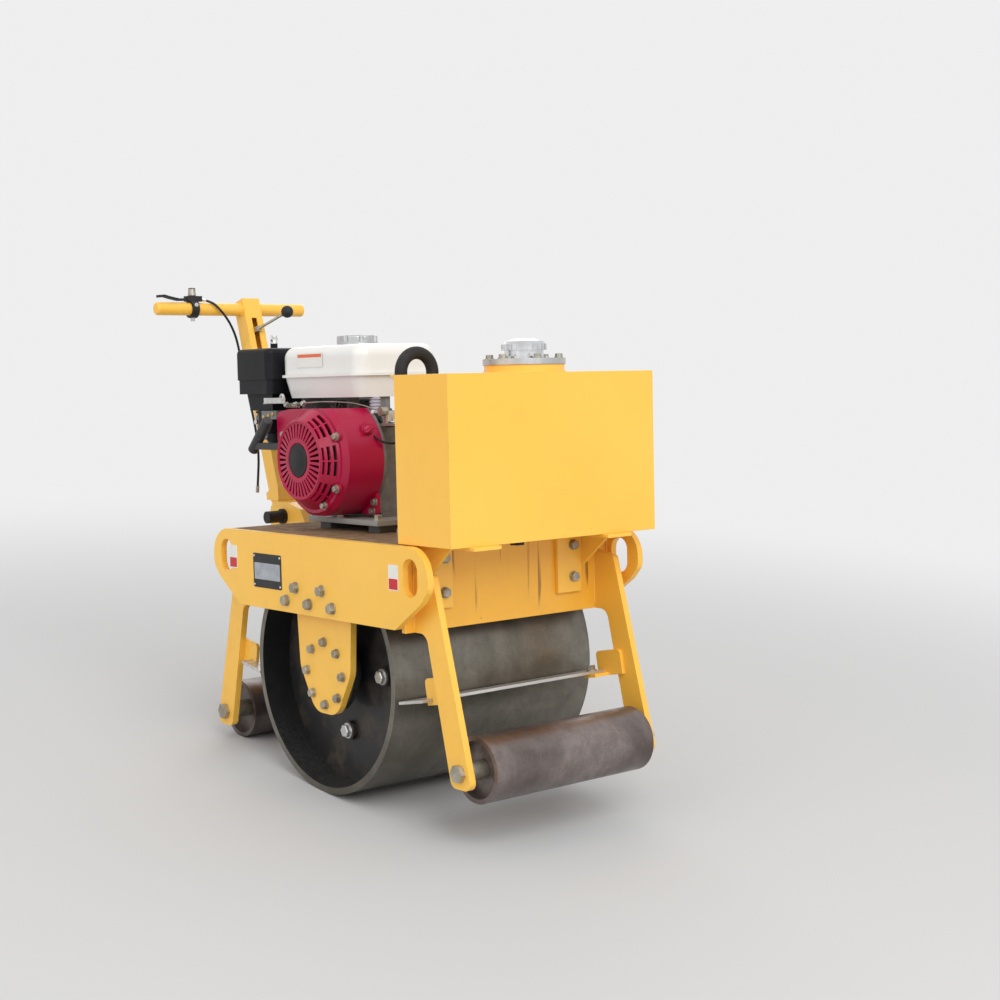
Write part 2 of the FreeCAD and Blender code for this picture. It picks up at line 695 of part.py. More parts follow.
def front_tank():
    """Return the sheet metal tank, hollow, with the neck that its cover plate sits on."""
    w, s = TANK_HALF_WIDTH, TANK_SHEET
    outer = box(-w, w, -TANK_FRONT, -TANK_REAR, TANK_BOTTOM, TANK_TOP)
    inner = box(-w + s, w - s, -TANK_FRONT + s, -TANK_REAR - s, TANK_BOTTOM + s, TANK_TOP - s)
    lid = box(-w, w, -TANK_FRONT, -TANK_REAR + TANK_LID_OVERHANG, TANK_TOP - s, TANK_TOP)
    neck = rod_z(NECK_X, TANK_MIDDLE, TANK_TOP - s / 2, NECK_TOP, NECK_RADIUS)
    mouth = rod_z(NECK_X, TANK_MIDDLE, TANK_TOP - 2 * s, NECK_TOP + 1, NECK_BORE)
    return outer.cut(inner).fuse([lid, neck]).cut(mouth).removeSplitter()


def tank_flange():
    """Return the silver cover plate on the tank's neck."""
    cover = rod_z(NECK_X, TANK_MIDDLE, NECK_TOP, NECK_PLATE_TOP, NECK_PLATE_RADIUS)
    return cover.cut(rod_z(NECK_X, TANK_MIDDLE, NECK_TOP - 1, NECK_PLATE_TOP + 1, NECK_BORE))


def breather_cap():
    """Return the domed filler cap on its stem, with grip ribs."""
    r = CAP_RADIUS
    rim = CAP_STEM
    top = CAP_STEM + CAP_DOME
    # Half section: height above the cover plate, radius
    profile = ((0, 0), (0, r + 3), (4, r + 3), (4, r - 4), (rim, r - 4), (rim, r), (rim + CAP_DOME * 0.5, r),
               (rim + CAP_DOME * 0.75, r * 0.86), (rim + CAP_DOME * 0.93, r * 0.55), (top, 0))
    base = V(NECK_X, TANK_MIDDLE, NECK_PLATE_TOP)
    cap = spun(base, V(0, 0, 1), profile)
    rib = box(r - 1.0, r + CAP_RIB - 1.0, -CAP_RIB / 2, CAP_RIB / 2, rim, rim + CAP_DOME * 0.5)
    ribs = []
    for index in range(CAP_RIBS):
        copy = rib.copy()
        copy.rotate(V(0, 0, 0), V(0, 0, 1), 360.0 / CAP_RIBS * index)
        copy.translate(base)
        ribs.append(copy)
    return cap.fuse(ribs)


def drain_plug():
    """Return the drain plug under the tank."""
    seat = TANK_BOTTOM - DRAIN_FLANGE_THICK
    flange = rod_z(DRAIN_X, TANK_MIDDLE, seat, TANK_BOTTOM, DRAIN_FLANGE_RADIUS)
    head = plate("z", seat - DRAIN_HEIGHT, DRAIN_HEIGHT, hexagon(DRAIN_X, TANK_MIDDLE, DRAIN_ACROSS))
    return flange.fuse(head).removeSplitter()


def tank_straps():
    """Return the bolted straps that carry the tank, each with its shelf and gusset."""
    face = -CROSS_FACE
    front = face - STRAP_THICK
    shelf_bottom = TANK_BOTTOM - STRAP_SHELF
    solids = []
    for side, gap in STRAPS:
        outer = side * (SIDE_INNER - gap)
        inner = outer - side * STRAP_WIDTH
        strap = box(outer, inner, front, face, TANK_BOTTOM - STRAP_LENGTH, shelf_bottom)
        shelf = box(outer, inner, -TANK_FRONT - STRAP_PROUD, face, shelf_bottom, TANK_BOTTOM)
        gusset = plate("x", min(outer, outer + side * GUSSET_THICK), GUSSET_THICK, (
            (face, shelf_bottom - GUSSET_HEIGHT, 0), (face, TANK_BOTTOM, 0), (front - GUSSET_DEPTH, TANK_BOTTOM, 0),
            (front - GUSSET_DEPTH, shelf_bottom, 0), (front, shelf_bottom - GUSSET_HEIGHT, 0)))
        solids.append(strap.fuse([shelf, gusset]).removeSplitter())
    return Part.makeCompound(solids)


def tank_hose():
    """Return the black hose that arches from the tank's rear wall over to the deck."""
    bend = (HOSE_TANK_X - HOSE_DECK_X) / 2
    top = TANK_TOP + HOSE_RISE
    spring = top - bend
    ends = (V(HOSE_DECK_X, HOSE_Y, DECK_TOP + FITTING_HEIGHT), V(HOSE_TANK_X, HOSE_Y, spring - HOSE_TAIL))
    left = V(HOSE_DECK_X, HOSE_Y, spring)
    right = V(HOSE_TANK_X, HOSE_Y, spring)
    crown = V(HOSE_DECK_X + bend, HOSE_Y, top)
    path = Part.Wire([Part.makeLine(ends[0], left), Part.Arc(left, crown, right).toShape(),
                      Part.makeLine(right, ends[1])])
    ring = Part.Wire([Part.makeCircle(HOSE_RADIUS, ends[0], V(0, 0, 1))])
    return path.makePipeShell([ring], True, False)


def hose_fittings():
    """Return the deck fitting and the elbow on the tank's rear wall."""
    low = plate("z", DECK_TOP, FITTING_HEIGHT, hexagon(HOSE_DECK_X, HOSE_Y, FITTING_ACROSS))
    end = TANK_TOP + HOSE_RISE - (HOSE_TANK_X - HOSE_DECK_X) / 2 - HOSE_TAIL
    collar = plate("z", end - FITTING_HEIGHT, FITTING_HEIGHT, hexagon(HOSE_TANK_X, HOSE_Y, FITTING_ACROSS))
    stub = rod_y(HOSE_TANK_X, -TANK_REAR, HOSE_Y, end - FITTING_HEIGHT / 2, FITTING_RADIUS)
    return Part.makeCompound([low, collar.fuse(stub).removeSplitter()])


def engine_rails():
    """Return the two rails that lift the engine's plate off the deck."""
    solids = []
    for near in (ENGINE_Y - STAND_FRONT + STAND_RAIL_INSET, ENGINE_Y + STAND_REAR - STAND_RAIL_INSET - STAND_RAIL_WIDTH):
        solids.append(box(-STAND_LEFT + STAND_RAIL_INSET, STAND_RIGHT - STAND_RAIL_INSET, near,
                          near + STAND_RAIL_WIDTH, DECK_TOP, DECK_TOP + STAND_RAIL))
    return Part.makeCompound(solids)


def engine_plate():
    """Return the plate that the engine is bolted to."""
    return box(-STAND_LEFT, STAND_RIGHT, ENGINE_Y - STAND_FRONT, ENGINE_Y + STAND_REAR, STAND_TOP - STAND_PLATE,
               STAND_TOP)


def cover_limits(inset):
    """Return the block that gives the fan cover its flat top and bottom, drawn in by an inset."""
    reach = 2 * COVER_RADIUS
    return box(-COVER_FACE - 1, 0, ENGINE_Y - reach, ENGINE_Y + reach, CRANK_Z - COVER_BOTTOM + inset,
               CRANK_Z + COVER_TOP - inset)


def cover_form(back, front, inset):
    """Return the fan cover's outline: a round with a flat top and bottom and one squared corner."""
    radius = COVER_RADIUS - inset
    drum = rod_x(-front, -back, ENGINE_Y, CRANK_Z, radius)
    far = ENGINE_Y + COVER_CORNER_BACK - inset
    high = CRANK_Z + COVER_CORNER_RISE - inset
    turn = math.radians(20.0)
    corner = plate("x", -front, front - back, (
        (ENGINE_Y, CRANK_Z, 0), (ENGINE_Y + radius * math.cos(turn), CRANK_Z - radius * math.sin(turn), 0),
        (far, CRANK_Z + COVER_CORNER_LOW, 0), (far, high, COVER_CORNER - inset), (ENGINE_Y, CRANK_Z + radius, 0)))
    return drum.fuse(corner).common(cover_limits(inset))


def engine_block():
    """Return the crankcase with its fan side plate, the tilted finned cylinder and the tank's posts."""
    case = box(-CASE_LEFT, CASE_RIGHT, ENGINE_Y - CASE_HALF, ENGINE_Y + CASE_HALF, STAND_TOP + FOOT_HEIGHT,
               CRANK_Z + CASE_RISE)
    foot = box(-CASE_LEFT, CASE_RIGHT, ENGINE_Y - CASE_HALF - FOOT_SPREAD, ENGINE_Y + STAND_REAR, STAND_TOP,
               STAND_TOP + FOOT_HEIGHT)
    fan_side = cover_form(CASE_LEFT, COVER_BACK, 0)
    barrel = box(FIN_X[0] + 4, FIN_X[1] - 4, ENGINE_Y + BARREL_START, ENGINE_Y + BARREL_END, CRANK_Z - BARREL_HALF,
                 CRANK_Z + BARREL_HALF)
    head = plate("y", ENGINE_Y + BARREL_END, HEAD_LENGTH, rectangle(
        FIN_X[0] + 8, FIN_X[1] - 8, CRANK_Z - HEAD_HALF, CRANK_Z + HEAD_HALF, HEAD_CORNER))
    tilted = [barrel, head]
    pitch = (BARREL_END - BARREL_START - 2 * FIN_THICK) / (FIN_COUNT - 0.5)
    for index in range(FIN_COUNT):
        y = ENGINE_Y + BARREL_START + FIN_THICK + pitch * (index + 0.5)
        tilted.append(box(FIN_X[0], FIN_X[1], y, y + FIN_THICK, CRANK_Z - BARREL_HALF - FIN_PROUD,
                          CRANK_Z + BARREL_HALF + FIN_PROUD))
    tilted = [turned(shape, ENGINE_Y, CRANK_Z, CYLINDER_TILT) for shape in tilted]
    port = box(PORT_X - PORT_HALF, PORT_X + PORT_HALF, ENGINE_Y + BARREL_END, ENGINE_Y + PORT_Y + PORT_HALF,
               CRANK_Z + PORT_RISE - 2 * PORT_HALF + 12.0, CRANK_Z + PORT_RISE)
    posts = []
    for x in (-CASE_LEFT + TANK_POST_INSET, CASE_RIGHT - TANK_POST_INSET - TANK_POST_WIDTH):
        for y in (ENGINE_Y - CASE_HALF + TANK_POST_IN, ENGINE_Y + CASE_HALF - TANK_POST_IN - TANK_POST_THICK):
            posts.append(box(x, x + TANK_POST_WIDTH, y, y + TANK_POST_THICK, CRANK_Z + CASE_RISE - 1, FUEL_BOTTOM))
    return case.fuse([foot, fan_side, port] + tilted + posts).removeSplitter()


def cover_solid(inset):
    """Return the fan cover as a solid, drawn in by a wall's thickness."""
    body = cover_form(COVER_BACK - inset, COVER_SHOULDER - inset, inset)
    slope = Part.makeCone(COVER_RADIUS - COVER_SLOPE - inset, COVER_RADIUS - inset, COVER_FACE - COVER_SHOULDER,
                          V(-COVER_FACE + inset, ENGINE_Y, CRANK_Z), V(1, 0, 0))
    return body.fuse(slope.common(cover_limits(inset)))


def fan_cover():
    """Return the red fan housing, a pressed shell with a sloped shoulder, a corner lug and a boss."""
    boss = rod_y(COVER_BOSS_X, ENGINE_Y - COVER_BOSS_REACH, ENGINE_Y - COVER_BOSS_REACH / 2,
                 CRANK_Z + COVER_BOSS_RISE, COVER_BOSS_RADIUS)
    low = CRANK_Z - COVER_BOTTOM
    lug = plate("x", -COVER_BACK - COVER_LUG, COVER_LUG, (
        (ENGINE_Y - COVER_LUG_REACH, CRANK_Z - COVER_LUG_TOP, 0), (ENGINE_Y - COVER_LUG_REACH, low, COVER_LUG),
        (ENGINE_Y - COVER_LUG_REACH / 2, low, 0), (ENGINE_Y - COVER_LUG_REACH / 2, CRANK_Z - COVER_LUG_TOP, 0)))
    eye = rod_x(-COVER_FACE - 1, -COVER_SHOULDER, ENGINE_Y, CRANK_Z, DOME_RADIUS - DOME_SEAT)
    return cover_solid(0).fuse([boss, lug]).cut([cover_solid(COVER_WALL), eye]).removeSplitter()


def vent_cutters():
    """Return the cutters of the dome's vents: three groups of slots, split by a rib."""
    inner, outer = GRILLE_RIM + 1.0, DOME_RADIUS + 10.0
    cutters = []
    for middle in VENT_ANGLES:
        for sign in (-1, 1):
            turns = [math.radians(180.0 - middle + sign * turn) for turn in (VENT_RIB, VENT_SPAN)]
            corners = [(inner, turns[0]), (outer, turns[0]), (outer, turns[1]), (inner, turns[1])]
            outline = [(ENGINE_Y + radius * math.cos(turn), CRANK_Z + radius * math.sin(turn), 0)
                       for radius, turn in corners]
            cutters += [plate("x", -far, far - near, outline) for far, near in VENT_SLOTS]
    return cutters


def recoil_starter():
    """Return the recoil starter: a cone with vents and a dished grille of radial slots round its hub."""
    wall = COVER_WALL
    depth = DOME_FACE - COVER_FACE
    rim = GRILLE_RIM
    dish_end = GRILLE_SLOT_OUT + GRILLE_SLOT_END
    # Half section: depth behind the front face, radius
    profile = ((2.0, 0), (2.0, GRILLE_HUB - 1.5), (0, GRILLE_HUB), (0, GRILLE_RING), (GRILLE_DISH, dish_end),
               (1.2, rim), (1.0, rim + 2.0), (3.5, DOME_LIP), (depth, DOME_RADIUS), (depth, DOME_RADIUS - wall),
               (wall + 3.5, DOME_LIP - 2.0), (wall + 3.0, dish_end), (wall, GRILLE_RING),
               (wall + 2.0, GRILLE_HUB - 1.5), (wall + 2.0, 0))
    dome = spun(V(-DOME_FACE, ENGINE_Y, CRANK_Z), V(1, 0, 0), profile)
    wedge = plate("x", -DOME_FACE - 1, wall + GRILLE_DISH + 2, (
        (ENGINE_Y + GRILLE_SLOT_IN, CRANK_Z - GRILLE_SLOT_NARROW / 2, 0),
        (ENGINE_Y + GRILLE_SLOT_OUT, CRANK_Z - GRILLE_SLOT_WIDE / 2, 0),
        (ENGINE_Y + GRILLE_SLOT_OUT, CRANK_Z + GRILLE_SLOT_WIDE / 2, 0),
        (ENGINE_Y + GRILLE_SLOT_IN, CRANK_Z + GRILLE_SLOT_NARROW / 2, 0)))
    step = 360.0 / GRILLE_SLOTS
    slots = [turned(wedge, ENGINE_Y, CRANK_Z, step * index) for index in range(GRILLE_SLOTS)]
    return dome.cut(slots + vent_cutters())


def starter_grip():
    """Return the starter's pull grip with its guide neck, behind the fan cover."""
    y = ENGINE_Y + GRIP_BACK
    z = CRANK_Z + GRIP_RISE
    bar = rod_z(GRIP_X, y, z - GRIP_LENGTH / 2, z + GRIP_LENGTH / 2, GRIP_RADIUS)
    bar = turned(bar.makeFillet(GRIP_RADIUS * 0.4, bar.Edges[:1] + bar.Edges[2:]), y, z, GRIP_TILT)
    drop = GRIP_RISE - GRIP_STEM_RISE
    near = ENGINE_Y + COVER_RADIUS - 2 * GRIP_STEM_RADIUS
    neck = box(GRIP_X - GRIP_STEM_RADIUS, -COVER_SHOULDER + GRIP_STEM_RADIUS, near, y + drop,
               z - drop - GRIP_STEM_RADIUS, z - drop + GRIP_STEM_RADIUS)
    return bar.fuse(neck).cut(cover_solid(0)).removeSplitter()


def fuel_tank():
    """Return the fuel tank: a crowned upper half, a seam flange and a tapered lower half."""
    x0, x1 = FUEL_X
    y0, y1 = ENGINE_Y - FUEL_FRONT, ENGINE_Y + FUEL_REAR
    upper = plate("z", FUEL_SEAM_Z, FUEL_UPPER, rectangle(x0, x1, y0, y1, FUEL_CORNER))
    upper = upper.makeFillet(FUEL_CROWN, top_edges(upper, FUEL_TOP))
    out = FUEL_SEAM_OUT
    seam = plate("z", FUEL_SEAM_Z - FUEL_SEAM / 2, FUEL_SEAM, rectangle(x0 - out, x1 + out, y0 - out, y1 + out,
                                                                        FUEL_CORNER + out))
    t = FUEL_TAPER
    floor = outline_face("z", FUEL_BOTTOM, rectangle(x0 + t, x1 - t, y0 + t, y1 - t, FUEL_CORNER))
    belt = outline_face("z", FUEL_SEAM_Z, rectangle(x0, x1, y0, y1, FUEL_CORNER))
    lower = Part.makeLoft([floor.OuterWire, belt.OuterWire], True, True)
    return upper.fuse([seam, lower]).removeSplitter()


def fuel_cap():
    """Return the fuel filler cap with its scalloped rim."""
    y = ENGINE_Y + FUEL_CAP_BACK
    top = FUEL_TOP + FUEL_CAP_HEIGHT
    cap = rod_z(FUEL_CAP_X, y, FUEL_TOP, top, FUEL_CAP_RADIUS)
    cap = cap.makeFillet(FUEL_CAP_HEIGHT / 4, top_edges(cap, top))
    cutters = []
    for index in range(FUEL_CAP_LOBES):
        angle = math.radians(360.0 / FUEL_CAP_LOBES * (index + 0.5))
        reach = FUEL_CAP_RADIUS + FUEL_CAP_SCALLOP * 0.5
        cutters.append(rod_z(FUEL_CAP_X + reach * math.cos(angle), y + reach * math.sin(angle),
                             FUEL_TOP + FUEL_CAP_HEIGHT / 4, top + 1, FUEL_CAP_SCALLOP))
    return cap.cut(cutters)


def fuel_outlet():
    """Return the ribbed rubber outlet under the fuel tank's front corner."""
    pitch = OUTLET_LENGTH / OUTLET_RIBS
    profile = [(0, 0)]
    for index in range(OUTLET_RIBS):
        low = pitch * index
        profile += [(low, OUTLET_RADIUS - 2), (low + pitch * 0.3, OUTLET_RADIUS), (low + pitch * 0.7, OUTLET_RADIUS),
                    (low + pitch, OUTLET_RADIUS - 2)]
    profile.append((OUTLET_LENGTH, 0))
    clean = [profile[0]] + [point for index, point in enumerate(profile[1:]) if point != profile[index]]
    return spun(V(OUTLET_X, ENGINE_Y - OUTLET_FRONT, FUEL_BOTTOM - OUTLET_LENGTH), V(0, 0, 1), clean)


def air_cleaner():
    """Return the air cleaner: neck, base, rounded cover and the stud of its wing nut."""
    x0, x1 = CLEANER_X
    y0, y1 = ENGINE_Y + CLEANER_FRONT, ENGINE_Y + CLEANER_REAR
    s = CLEANER_STEP
    cover = plate("z", CLEANER_SEAM, CLEANER_LID, rectangle(x0, x1, y0, y1, CLEANER_CORNER))
    cover = cover.makeFillet(CLEANER_ROUND, top_edges(cover, CLEANER_TOP))
    base = plate("z", CLEANER_SEAM - CLEANER_BASE, CLEANER_BASE,
                 rectangle(x0 + s, x1 - s, y0 + s, y1 - s, CLEANER_CORNER - s))
    t = CLEANER_TRAY_IN
    neck = box(x0 + t, x1 - t, y0 + t, y1 - t, CLEANER_BOTTOM, CLEANER_BOTTOM + CLEANER_NECK)
    stud = rod_z((x0 + x1) / 2, (y0 + y1) / 2, CLEANER_TOP, CLEANER_TOP + CLEANER_ROUND, CLEANER_CORNER / 2)
    return cover.fuse([base, neck, stud]).removeSplitter()


def carburettor():
    """Return the carburettor with its float bowl and the choke plate that stands out under the cleaner."""
    x0, x1 = CARB_X
    low = CLEANER_BOTTOM - CARB_HEIGHT
    end = ENGINE_Y + CARB_REACH
    body = box(x0, x1, ENGINE_Y + CASE_HALF, end, low, CLEANER_BOTTOM)
    bowl = rod_z((x0 + x1) / 2, end - BOWL_RADIUS - 6.0, low - BOWL_HEIGHT, low, BOWL_RADIUS)
    web = box(CHOKE_PLATE_X, x0, end - CHOKE_WIDTH + 4.0, end - CHOKE_WIDTH + 10.0, CLEANER_BOTTOM - CHOKE_HEIGHT,
              CLEANER_BOTTOM)
    choke = box(CHOKE_PLATE_X, CHOKE_PLATE_X + CHOKE_PLATE, end - CHOKE_WIDTH - 18.0, end - 18.0,
                CLEANER_BOTTOM - CHOKE_HEIGHT, CLEANER_BOTTOM)
    return body.fuse([bowl, web, choke]).removeSplitter()


def throttle_control():
    """Return the governor's bracket with its arm and knob, ahead of the crankcase."""
    x0 = -CASE_LEFT
    x1 = x0 + CONTROL_WIDTH
    top = CRANK_Z + CASE_RISE
    front = ENGINE_Y - CONTROL_REACH
    s = CONTROL_SHEET
    shelf = box(x0, x1, front, ENGINE_Y - CASE_HALF, top - s, top)
    apron = box(x0, x1, front, front + s, top - 6 * s, top)
    arm_y = ENGINE_Y - CASE_HALF - CONTROL_ARM_OUT
    arm = box(x0, x0 + s, arm_y - CONTROL_KNOB_RADIUS / 2, arm_y + CONTROL_KNOB_RADIUS / 2, top, top + CONTROL_ARM)
    knob = rod_x(x0 - CONTROL_KNOB, x0 + s, arm_y, top + CONTROL_ARM - CONTROL_KNOB_RADIUS / 2, CONTROL_KNOB_RADIUS)
    return shelf.fuse([apron, arm, knob]).removeSplitter()


def muffler():
    """Return the hollow muffler behind the cylinder head, with its inlet pipe and outlet."""
    x0, x1 = MUFFLER_X
    y0 = ENGINE_Y + MUFFLER_REACH
    y1 = y0 + MUFFLER_LENGTH
    z0 = CRANK_Z + PORT_RISE + MUFFLER_PIPE
    z1 = z0 + MUFFLER_HEIGHT
    s = MUFFLER_SHEET
    shell = plate("x", x0, x1 - x0, rectangle(y0, y1, z0, z1, MUFFLER_CORNER))
    shell = shell.cut(plate("x", x0 + s, x1 - x0 - 2 * s, rectangle(y0 + s, y1 - s, z0 + s, z1 - s,
                                                                  MUFFLER_CORNER - s)))
    inlet_y = ENGINE_Y + PORT_Y
    pipe = rod_z(PORT_X, inlet_y, z0 - MUFFLER_PIPE, z0 + 2 * s, MUFFLER_PIPE_RADIUS)
    out_z = z1 - MUFFLER_CORNER
    outlet = rod_x(x1 - s, x1 + OUTPIPE_LENGTH, (y0 + y1) / 2, out_z, OUTPIPE_RADIUS)
    bore = rod_x(x1 - s - 1, x1 + OUTPIPE_LENGTH + 1, (y0 + y1) / 2, out_z, OUTPIPE_RADIUS - s)
    return shell.fuse([pipe, outlet]).cut(bore).removeSplitter()


def pump():
    """Return the pump and its bell housing on the output side."""
    bell = Part.makeCone(BELL_RADIUS, BELL_RADIUS - BELL_TAPER, BELL_LENGTH, V(CASE_RIGHT, ENGINE_Y, CRANK_Z),
                         V(1, 0, 0))
    body = plate("x", CASE_RIGHT + BELL_LENGTH, PUMP_LENGTH, rectangle(
        ENGINE_Y - PUMP_HALF_Y, ENGINE_Y + PUMP_HALF_Y, CRANK_Z - PUMP_HALF_Z, CRANK_Z + PUMP_HALF_Z, PUMP_CORNER))
    return bell.fuse(body).removeSplitter()


def hinge_bracket():
    """Return the boxed bracket that carries the handle: two ears, their cover and the stop."""
    root = CROSS_BOTTOM + EAR_ROOT_RISE
    outline = [(CROSS_FACE, DECK_BOTTOM - EAR_DECK_GAP, 0), (CROSS_FACE, root, 0),
               (CROSS_FACE + EAR_ROOT_DEPTH, root, 40.0)]
    outline += [(HINGE_Y + back, HINGE_Z + up, radius) for back, up, radius in EAR_OUTLINE]
    ear = plate("x", -EAR_INNER - EAR_THICK, EAR_THICK, outline)
    t = EAR_COVER_THICK
    (top_y, top_z), (mid_y, mid_z), (low_y, low_z) = [(HINGE_Y + row[0], HINGE_Z + row[1]) for row in EAR_OUTLINE[2:]]
    cover = plate("x", -EAR_INNER, 2 * EAR_INNER, (
        (HINGE_Y + EAR_COVER_END, top_z, 0), (top_y, top_z, 0), (mid_y, mid_z, 0), (low_y, low_z, 0),
        (low_y + t, low_z, 0), (mid_y + t * 0.7, mid_z - t, 0), (top_y, top_z - t, 0),
        (HINGE_Y + EAR_COVER_END, top_z - t, 0)))
    stop = box(-EAR_INNER, EAR_INNER, HINGE_Y + STOP_Y[0], HINGE_Y + STOP_Y[1], STOP_Z - STOP_GAP - STOP_HEIGHT,
               STOP_Z - STOP_GAP)
    reach = EAR_INNER + EAR_THICK + 1
    hole = rod_x(-reach, reach, HINGE_Y, HINGE_Z, HINGE_RADIUS)
    return ear.fuse([mirror_x(ear), cover, stop]).cut(hole).removeSplitter()


def hinge_pin():
    """Return the hinge bolt with its black hand knob on the left and nut on the right."""
    reach = EAR_INNER + EAR_THICK
    bolt = rod_x(-reach - KNOB_COLLAR, reach + HINGE_NUT, HINGE_Y, HINGE_Z, HINGE_RADIUS)
    collar = rod_x(-reach - KNOB_COLLAR, -reach, HINGE_Y, HINGE_Z, KNOB_COLLAR_RADIUS)
    knob = rod_x(-reach - KNOB_COLLAR - KNOB_LENGTH, -reach - KNOB_COLLAR, HINGE_Y, HINGE_Z, KNOB_RADIUS)
    nut = plate("x", reach, HINGE_NUT, hexagon(HINGE_Y, HINGE_Z, HINGE_NUT_ACROSS))
    return bolt.fuse([collar, knob, nut]).removeSplitter()


def column_point(along, across):
    """Return (y, z) of a point on the handle column, up from its foot and back from its front face."""
    lean = math.radians(COLUMN_LEAN)
    y = HINGE_Y + COLUMN_FOOT_BACK + along * math.sin(lean) + across * math.cos(lean)
    z = HINGE_Z + COLUMN_FOOT_RISE + along * math.cos(lean) - across * math.sin(lean)
    return y, z


def column_block(x_half, along0, along1, across0, across1, radius=0.0):
    """Return a block lined up with the handle column."""
    corners = [column_point(along0, across0), column_point(along1, across0), column_point(along1, across1),
               column_point(along0, across1)]
    return plate("x", -x_half, 2 * x_half, [(y, z, radius) for y, z in corners])


def bar_place():
    """Return (y, z) of the handlebar's middle."""
    return column_point(COLUMN_LENGTH - BAR_FROM_TOP, COLUMN_DEPTH / 2)


def handle_column():
    """Return the box section column with its slot, shoe and hinge lug."""
    w, t = COLUMN_HALF_WIDTH, COLUMN_WALL
    tube = column_block(w, 0, COLUMN_LENGTH, 0, COLUMN_DEPTH)
    inside = column_block(w - t, 2 * t, COLUMN_LENGTH - t, t, COLUMN_DEPTH - t)
    slot_top = COLUMN_LENGTH - LEVER_SLOT_FROM_TOP
    slot = column_block(LEVER_SLOT_WIDTH / 2, slot_top - LEVER_SLOT_LENGTH, slot_top, -1, t + 1)
    bar_y, bar_z = bar_place()
    bar_hole = rod_x(-w - 1, w + 1, bar_y, bar_z, BAR_RADIUS + PIN_GAP)
    shoe_points = [(HINGE_Y + back, HINGE_Z + up) for back, up in SHOE_OUTLINE]
    shoe = plate("x", -w - SHOE_SIDE, 2 * (w + SHOE_SIDE), [(y, z, 2.0) for y, z in shoe_points])
    low_front, low_rear = shoe_points[0], shoe_points[1]
    r = LUG_RADIUS
    lug = plate("x", -w, 2 * w, (
        (HINGE_Y - r, HINGE_Z - r, r - 2), (HINGE_Y + r / 2, HINGE_Z - r, 5.0), (HINGE_Y + STOP_Y[0] - 10, STOP_Z, 0),
        (HINGE_Y + STOP_Y[1] + 3, STOP_Z, 4.0), (low_rear[0] - 8, low_rear[1] + 1, 0), (low_front[0] + 2, low_front[1] + 1, 0),
        (HINGE_Y + r / 2, HINGE_Z + r, 6.0), (HINGE_Y - r, HINGE_Z + r, r - 2)))
    pin = rod_x(-w - 1, w + 1, HINGE_Y, HINGE_Z, HINGE_RADIUS + PIN_GAP)
    return tube.cut([inside, slot]).fuse([shoe, lug]).cut([pin, bar_hole]).removeSplitter()


def handlebar():
    """Return the handlebar tube, which passes through the column's head."""
    y, z = bar_place()
    w = COLUMN_HALF_WIDTH
    bar = rod_x(-BAR_LEFT, BAR_RIGHT, y, z, BAR_RADIUS)
    ends = [edge for edge in bar.Edges if len(edge.Vertexes) == 1]
    neck = rod_x(-w, w, y, z, BAR_RADIUS + 1).cut(rod_x(-w, w, y, z, BAR_RADIUS - BAR_NECK))
    return bar.makeFillet(BAR_ROUND, ends).cut(neck)


def lever_start():
    """Return (y, z) of the travel lever where it leaves the column's slot."""
    return column_point(COLUMN_LENGTH - LEVER_FROM_TOP, -LEVER_OUT)


def ball_centre():
    """Return the middle of the travel lever's ball."""
    y, z = column_point(COLUMN_LENGTH - LEVER_FROM_TOP, 0)
    return V(BALL_PLACE[0], y - BALL_PLACE[1], z + BALL_PLACE[2])


def travel_lever():
    """Return the travel lever: pivot pin, flat in the slot and round rod."""
    along = COLUMN_LENGTH - LEVER_FROM_TOP
    half = LEVER_SLOT_WIDTH / 2 - LEVER_SIDE_GAP
    flat = column_block(half, along - LEVER_ARM / 2, along + LEVER_ARM / 2, -LEVER_OUT - LEVER_ROD_RADIUS,
                        LEVER_PIVOT_IN)
    inner = COLUMN_HALF_WIDTH - COLUMN_WALL
    pivot_y, pivot_z = column_point(along, LEVER_PIVOT_IN)
    pivot = rod_x(-inner, inner, pivot_y, pivot_z, LEVER_ARM / 2)
    y, z = lever_start()
    start = V(0, y, z)
    way = ball_centre() - start
    rod = Part.makeCylinder(LEVER_ROD_RADIUS, way.Length - BALL_RADIUS + 2.0, start, way)
    return flat.fuse([pivot, rod]).cut(lever_knob()).removeSplitter()


def lever_knob():
    """Return the travel lever's ball."""
    return Part.makeSphere(BALL_RADIUS, ball_centre())


def grip_lever():
    """Return the clamp on the bar with its housing, adjuster and grip lever."""
    y, z = bar_place()
    x0 = CLAMP_X - CLAMP_WIDTH / 2
    x1 = CLAMP_X + CLAMP_WIDTH / 2
    ring = rod_x(x0, x1, y, z, CLAMP_RADIUS)
    deck_z = z + BAR_RADIUS + 2.0
    housing = box(HOUSING_X[0], HOUSING_X[1], y - HOUSING_HALF, y + HOUSING_HALF, deck_z, deck_z + HOUSING_HEIGHT)
    adjuster = rod_z(CLAMP_X, y, deck_z + HOUSING_HEIGHT, deck_z + HOUSING_HEIGHT + ADJUSTER_HEIGHT, ADJUSTER_RADIUS)
    upper = [(x, z + up + GRIP_LEVER_THICK / 2, 0) for x, up in GRIP_LEVER_LINE]
    lower = [(x, z + up - GRIP_LEVER_THICK / 2, 0) for x, up in reversed(GRIP_LEVER_LINE)]
    lever = plate("y", y - GRIP_LEVER_WIDTH / 2, GRIP_LEVER_WIDTH, upper + lower)
    hole = rod_x(x0 - 1, x1 + 1, y, z, BAR_RADIUS + PIN_GAP)
    start, second = cable_points()[:2]
    socket = Part.makeCylinder(CABLE_RADIUS + PIN_GAP, HOUSING_HALF, start, second - start)
    return ring.fuse([housing, adjuster, lever]).cut([hole, socket]).removeSplitter()


